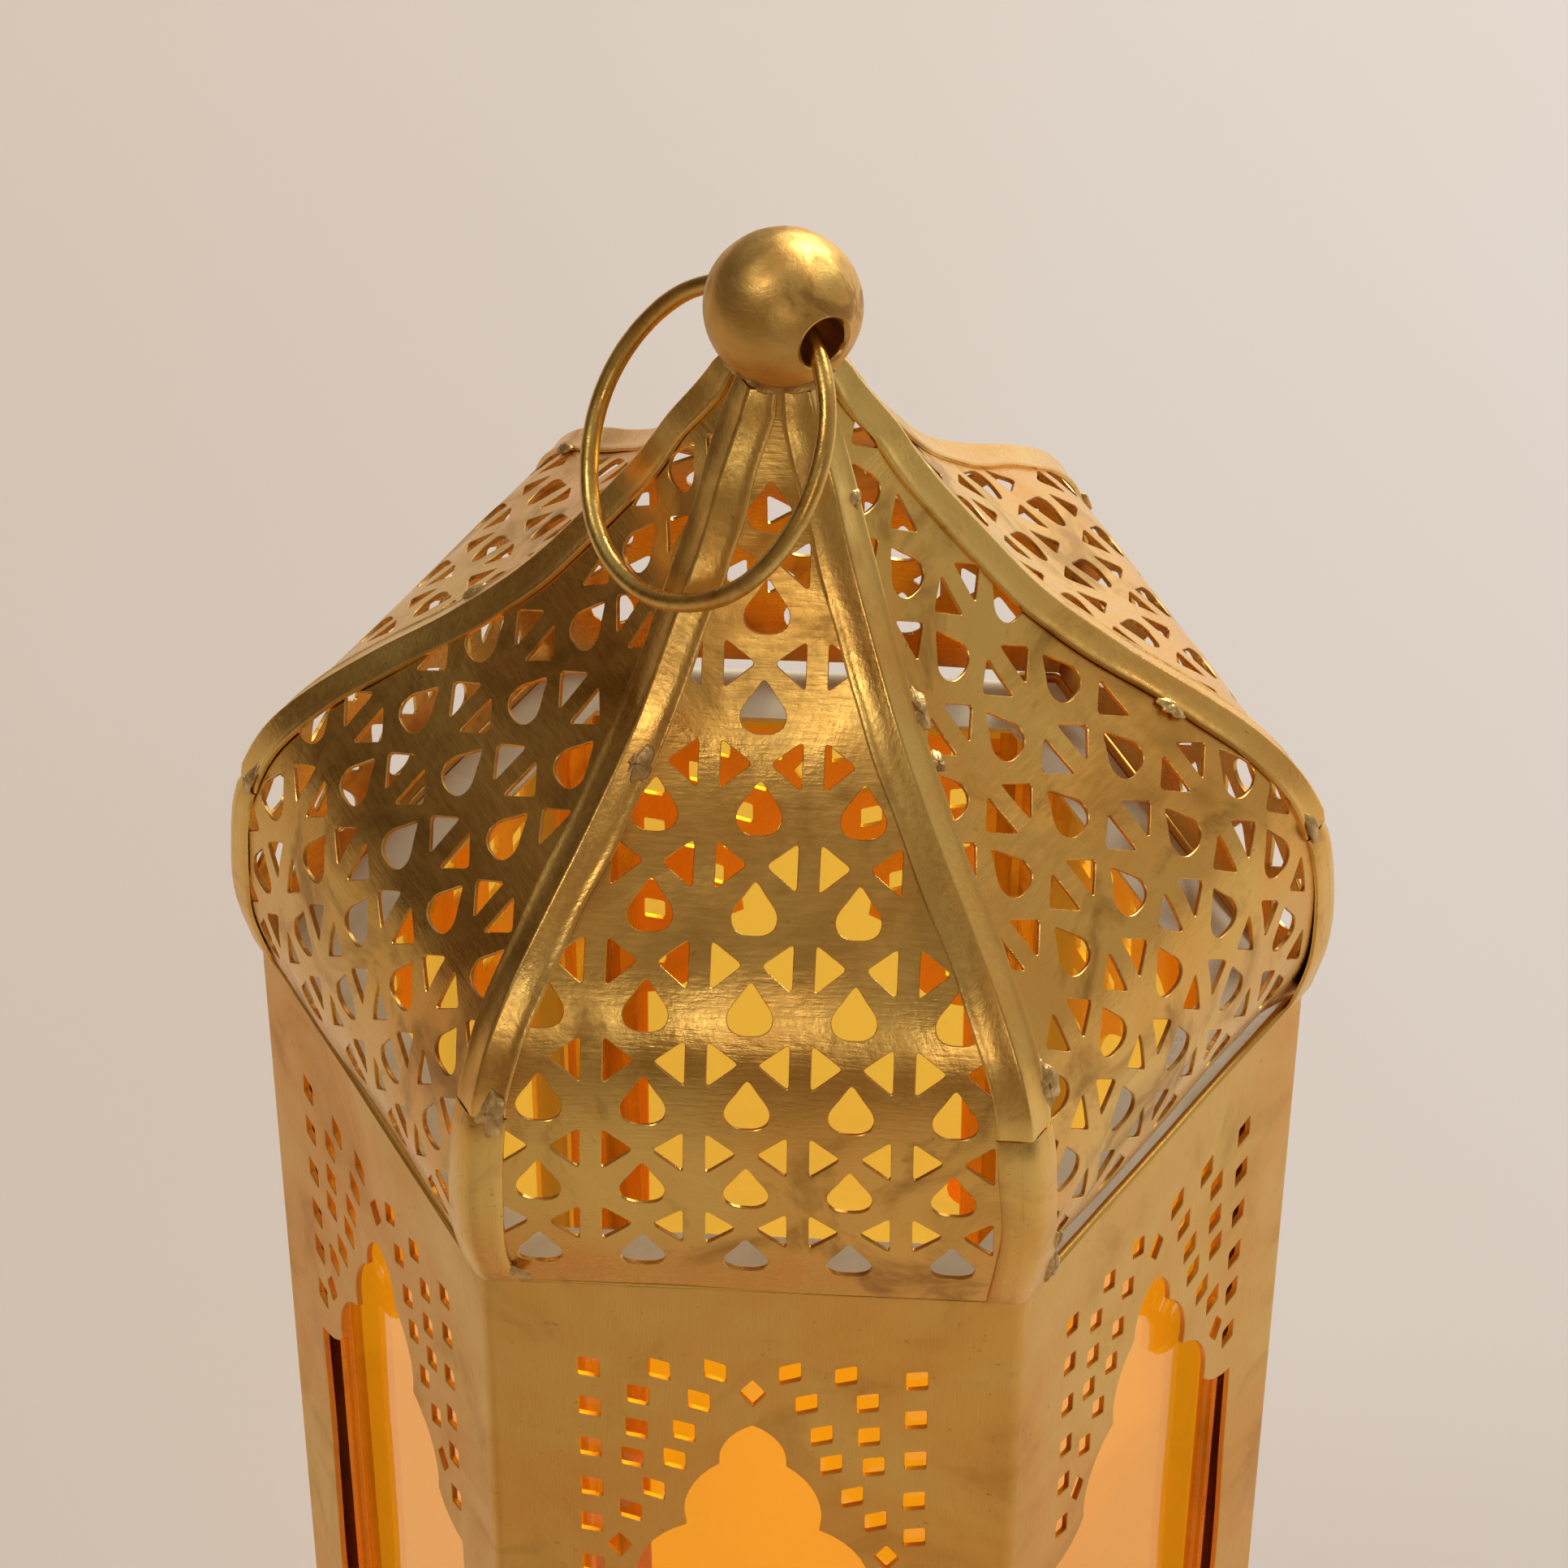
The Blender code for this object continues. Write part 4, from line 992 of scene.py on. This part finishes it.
# ---- Base --------------------------------------------------------------------------------------------
def hexagon(corner, z, fold, seed=None, sides=8):
    """A six-sided ring with rounded corners. fold is the flat length given to each rounding."""
    ring = []
    points = [Vector((cos(k * 2 * HALF), sin(k * 2 * HALF), 0)) * corner for k in range(6)]
    for index, here in enumerate(points):
        before, after = points[index - 1], points[(index + 1) % 6]
        start = here + (before - here).normalized() * fold
        end = here + (after - here).normalized() * fold
        for step in range(5):
            t = step / 4
            ring.append(start * (1 - t) ** 2 + here * 2 * t * (1 - t) + end * t * t)
        far = after + (here - after).normalized() * fold
        for step in range(1, sides):
            t = step / sides
            point = end.lerp(far, t)
            if seed is not None:
                swell = wander(point.x + seed, point.y, seed, 30, 0.5) * min(1, 4 * t, 4 - 4 * t)
                point = point * (1 - abs(swell) / point.length)
            ring.append(point)
    for point in ring:
        point.z = z
    return ring


def build_base():
    plate_r, sheet_t, bevel = 66.0, 1.2, 0.25
    rings = [
        hexagon(plate_r - bevel, 0.0, 1.0),
        hexagon(plate_r, bevel, 1.0),
        hexagon(plate_r, sheet_t - bevel, 1.0),
        hexagon(plate_r - bevel, sheet_t, 1.0),
    ]
    swept("base_plate_look", rings, "body_brass", "case", ["base_plate"])
    foot_z, top_z, skirt = sheet_t + GAP, 24.0, 0.9
    neck = corner_r(top_z) + GAP / COS_HALF
    inset = skirt / COS_HALF
    rise, flare = top_z - foot_z, plate_r - neck - inset
    upper = [(0.0, 1.0), (0.0, 0.87), (0.02, 0.74), (0.28, 0.62)]
    lower = [(0.72, 0.50), (0.94, 0.36), (1.0, 0.20), (1.0, 0.0)]
    path = smooth_path(upper + lower, 4)
    outer = [(neck + flare * p.x + inset, foot_z + rise * p.y) for p in path]
    inner = [(neck + flare * p.x, foot_z + rise * p.y) for p in reversed(path)]
    outer[0] = (outer[0][0] - 0.2, outer[0][1])
    outer.insert(1, (outer[0][0] + 0.2, outer[0][1] - 0.2))
    swept(
        "base_skirt_look",
        [hexagon(r, z, 1.2, 9) for r, z in outer + inner],
        "body_brass",
        "case",
        ["base_skirt"],
        wrap=True,
    )


# ---- Door --------------------------------------------------------------------------------------------
def build_door():
    low_z, high_z = 26.0, EAVE_Z - 3.0
    latch, hinge = RETURN_WIDTH - 1.2, 1.6
    corners = [
        (-half_side(low_z) + latch, up_face(low_z)),
        (half_side(low_z) - hinge, up_face(low_z)),
        (half_side(high_z) - hinge, up_face(high_z)),
        (-half_side(high_z) + latch, up_face(high_z)),
    ]
    on_face = face_frame("back")

    def place(x, y, depth):
        out = GAP + WALL - depth + wander(x, y, 20, 26, 0.16) - 0.08
        return on_face @ Vector((x, y, out))

    sheet(
        "door_panel_look",
        rounded(corners, 1.5, 4),
        [window_outline(), *lace_holes()],
        WALL,
        place,
        "body_brass",
        "door",
        ["door_panel"],
        WALL_SPACING,
    )


# ---- CAD nodes that keep their shape -----------------------------------------------------------------
def dress(prefixes, slot, bevel=None):
    """Gives the CAD nodes with these names' starts the slot's finish, and eases their edges."""
    for name, node in NODES.items():
        if not name.startswith(prefixes):
            continue
        node.data.materials.clear()
        node.data.materials.append(SLOTS[slot])
        if bevel:
            ease = node.modifiers.new("ease", "BEVEL")
            ease.width = bevel * MM
            ease.segments = 2
            ease.limit_method = "ANGLE"
            ease.angle_limit = radians(40)


# ---- Candle ------------------------------------------------------------------------------------------
def build_candle():
    floor = 1.5
    cup = [
        (18.0, floor + 0.8),
        (20.2, floor + 0.85),
        (21.2, floor + 1.8),
        (21.2, floor + 8.2),
        (21.35, floor + 8.8),
        (21.7, floor + 9.0),
        (22.0, floor + 8.7),
        (22.0, floor + 1.4),
        (21.6, floor + 0.4),
        (20.8, floor),
        (18.0, floor),
        (6.0, floor),
        (6.0, floor + 0.8),
    ]
    turned("candle_cup_look", cup, 72, "body_brass", "case", ["candle_cup"], wrap=True)
    foot = floor + 1.1
    top = foot + 44.0
    wax = [
        (4.0, foot),
        (18.3, foot),
        (18.9, foot + 0.7),
        (19.0, foot + 20),
        (19.0, top - 2.4),
        (18.6, top - 0.9),
        (17.6, top - 0.15),
        (16.4, top - 0.05),
        (14.6, top - 0.5),
        (11.0, top - 1.2),
        (6.0, top - 1.5),
        (1.6, top - 1.5),
    ]

    def melt(a, z):
        if z <= foot + 1:
            return 0.0
        return min(0.0, wander(8 * cos(a), 8 * sin(a) + z * 0.2, 8, 5.0, 0.5))

    turned("candle_look", wax, 72, "wax", "case", ["candle"], bumps=melt)
    bend = [(0, 0, top - 1.5), (0.1, 0, top + 1.5), (0.4, 0.1, top + 4), (1.1, 0.3, top + 6)]
    path = smooth_path(bend, 4)

    def plait(share):
        burnt = 0.6 if share >= 0.95 else 1.0
        return WICK_R * (1 + 0.12 * sin(60 * share)) * burnt

    swept("wick_look", tube_rings(path, plait, 12), "wick_cotton", "case", ["wick"])


# ---- Scene -------------------------------------------------------------------------------------------
def build_stage():
    bpy.ops.mesh.primitive_plane_add(size=16.0, location=(0, 0, 0))
    floor = bpy.context.active_object
    floor.name = "floor"
    made, tree, shader = principled("floor_painted_shade_look")
    graph = Graph(tree)
    place = graph.add("ShaderNodeSeparateXYZ")
    graph.link(graph.coords(), place.inputs["Vector"])
    uneven = graph.math("MULTIPLY", graph.noise(2.2, 3.0, 0.5), 0.4)
    across = graph.math("ADD", place.outputs["X"], uneven)
    # Painted light and shade: the floor's colour runs from darker and warmer at the left to paler and
    # cooler at the right, with noise in the blend.
    tone = graph.mix(graph.ramp(across, -0.1, 0.5), (0.64, 0.55, 0.465), (0.70, 0.68, 0.67))
    graph.link(tone, shader.inputs["Base Color"])
    shader.inputs["Roughness"].default_value = 0.8
    floor.data.materials.append(made)

    # The room is dim and warm at the left and in front, and bright at the right and overhead.
    world = bpy.data.worlds.new("studio")
    world.use_nodes = True
    graph = Graph(world.node_tree)
    where = graph.add("ShaderNodeTexCoord")
    split = graph.add("ShaderNodeSeparateXYZ")
    graph.link(where.outputs["Generated"], split.inputs["Vector"])
    rightness = graph.ramp(split.outputs["X"], -0.9, 1.0)
    height = graph.ramp(split.outputs["Z"], 0.3, 1.0)
    side = graph.mix(rightness, (0.07, 0.044, 0.024), (0.44, 0.40, 0.36))
    tone = graph.mix(height, side, (0.36, 0.34, 0.32))
    frontness = graph.ramp(split.outputs["Y"], -0.75, 0.1, 1.0, 0.0)
    lowness = graph.ramp(split.outputs["Z"], 0.10, 0.85, 0.9, 0.7)
    tone = graph.mix(graph.math("MULTIPLY", frontness, lowness), tone, (0.18, 0.115, 0.06))
    background = world.node_tree.nodes["Background"]
    graph.link(tone, background.inputs["Color"])
    background.inputs["Strength"].default_value = 1.0
    bpy.context.scene.world = world

    def softbox(name, place, aim, size, power, colour):
        light = bpy.data.lights.new(name, "AREA")
        light.shape = "RECTANGLE"
        light.size, light.size_y = size
        light.energy = power
        light.color = colour
        lamp = bpy.data.objects.new(name, light)
        bpy.context.scene.collection.objects.link(lamp)
        lamp.location = place
        lamp.rotation_mode = "QUATERNION"
        lamp.rotation_quaternion = (Vector(aim) - Vector(place)).to_track_quat("-Z", "Y")

    softbox("window", (0.9, 1.7, 1.5), (0, 0, 0.15), (1.3, 1.1), 52, (1.0, 0.97, 0.93))
    softbox("overhead", (-0.9, -0.4, 2.0), (0, 0, 0.2), (0.45, 0.45), 5.2, (1.0, 0.96, 0.9))
    softbox("front_fill", (0.3, -2.2, 1.5), (0, 0, 0.15), (0.8, 0.5), 3.5, (1.0, 0.95, 0.88))


def build_camera():
    """A long lens that looks down at the roof and the tops of the front windows."""
    azimuth, elevation, roll = radians(3.4155), radians(43.07), radians(0.169)
    distance, lens = 1.3074, 230.58
    back = Vector((sin(azimuth) * cos(elevation), -cos(azimuth) * cos(elevation), sin(elevation)))
    right = Vector((cos(azimuth), sin(azimuth), 0))
    up = back.cross(right)
    across = right * cos(roll) + up * sin(roll)
    upward = up * cos(roll) - right * sin(roll)
    target = Vector((0, 0, (EAVE_Z - 86.74) * MM)) + (right * 0.0046 + up * 1.3785) * 0.0624
    data = bpy.data.cameras.new("camera")
    data.sensor_width = 36.0
    data.lens = lens
    camera = bpy.data.objects.new("camera", data)
    bpy.context.scene.collection.objects.link(camera)
    matrix = Matrix.Identity(4)
    for column, axis in enumerate((across, upward, back, target + back * distance)):
        matrix.col[column][:3] = axis[:]
    camera.matrix_world = matrix
    bpy.context.scene.camera = camera


build_wall()
build_hems()
for number, face in enumerate(FACE_ANGLES):
    build_gore(face, number)
for number in range(6):
    build_hip(number)
build_finial()
build_ring()
build_solder()
build_base()
build_door()
build_candle()
dress(("pane_", "door_pane"), "amber_glass")
dress(("corner_strip_", "door_clip_", "hinge_", "latch_"), "strip_brass", 0.12)
dress(("top_frame",), "tinplate", 0.15)
build_stage()
build_camera()
bpy.context.scene.view_settings.view_transform = "Standard"
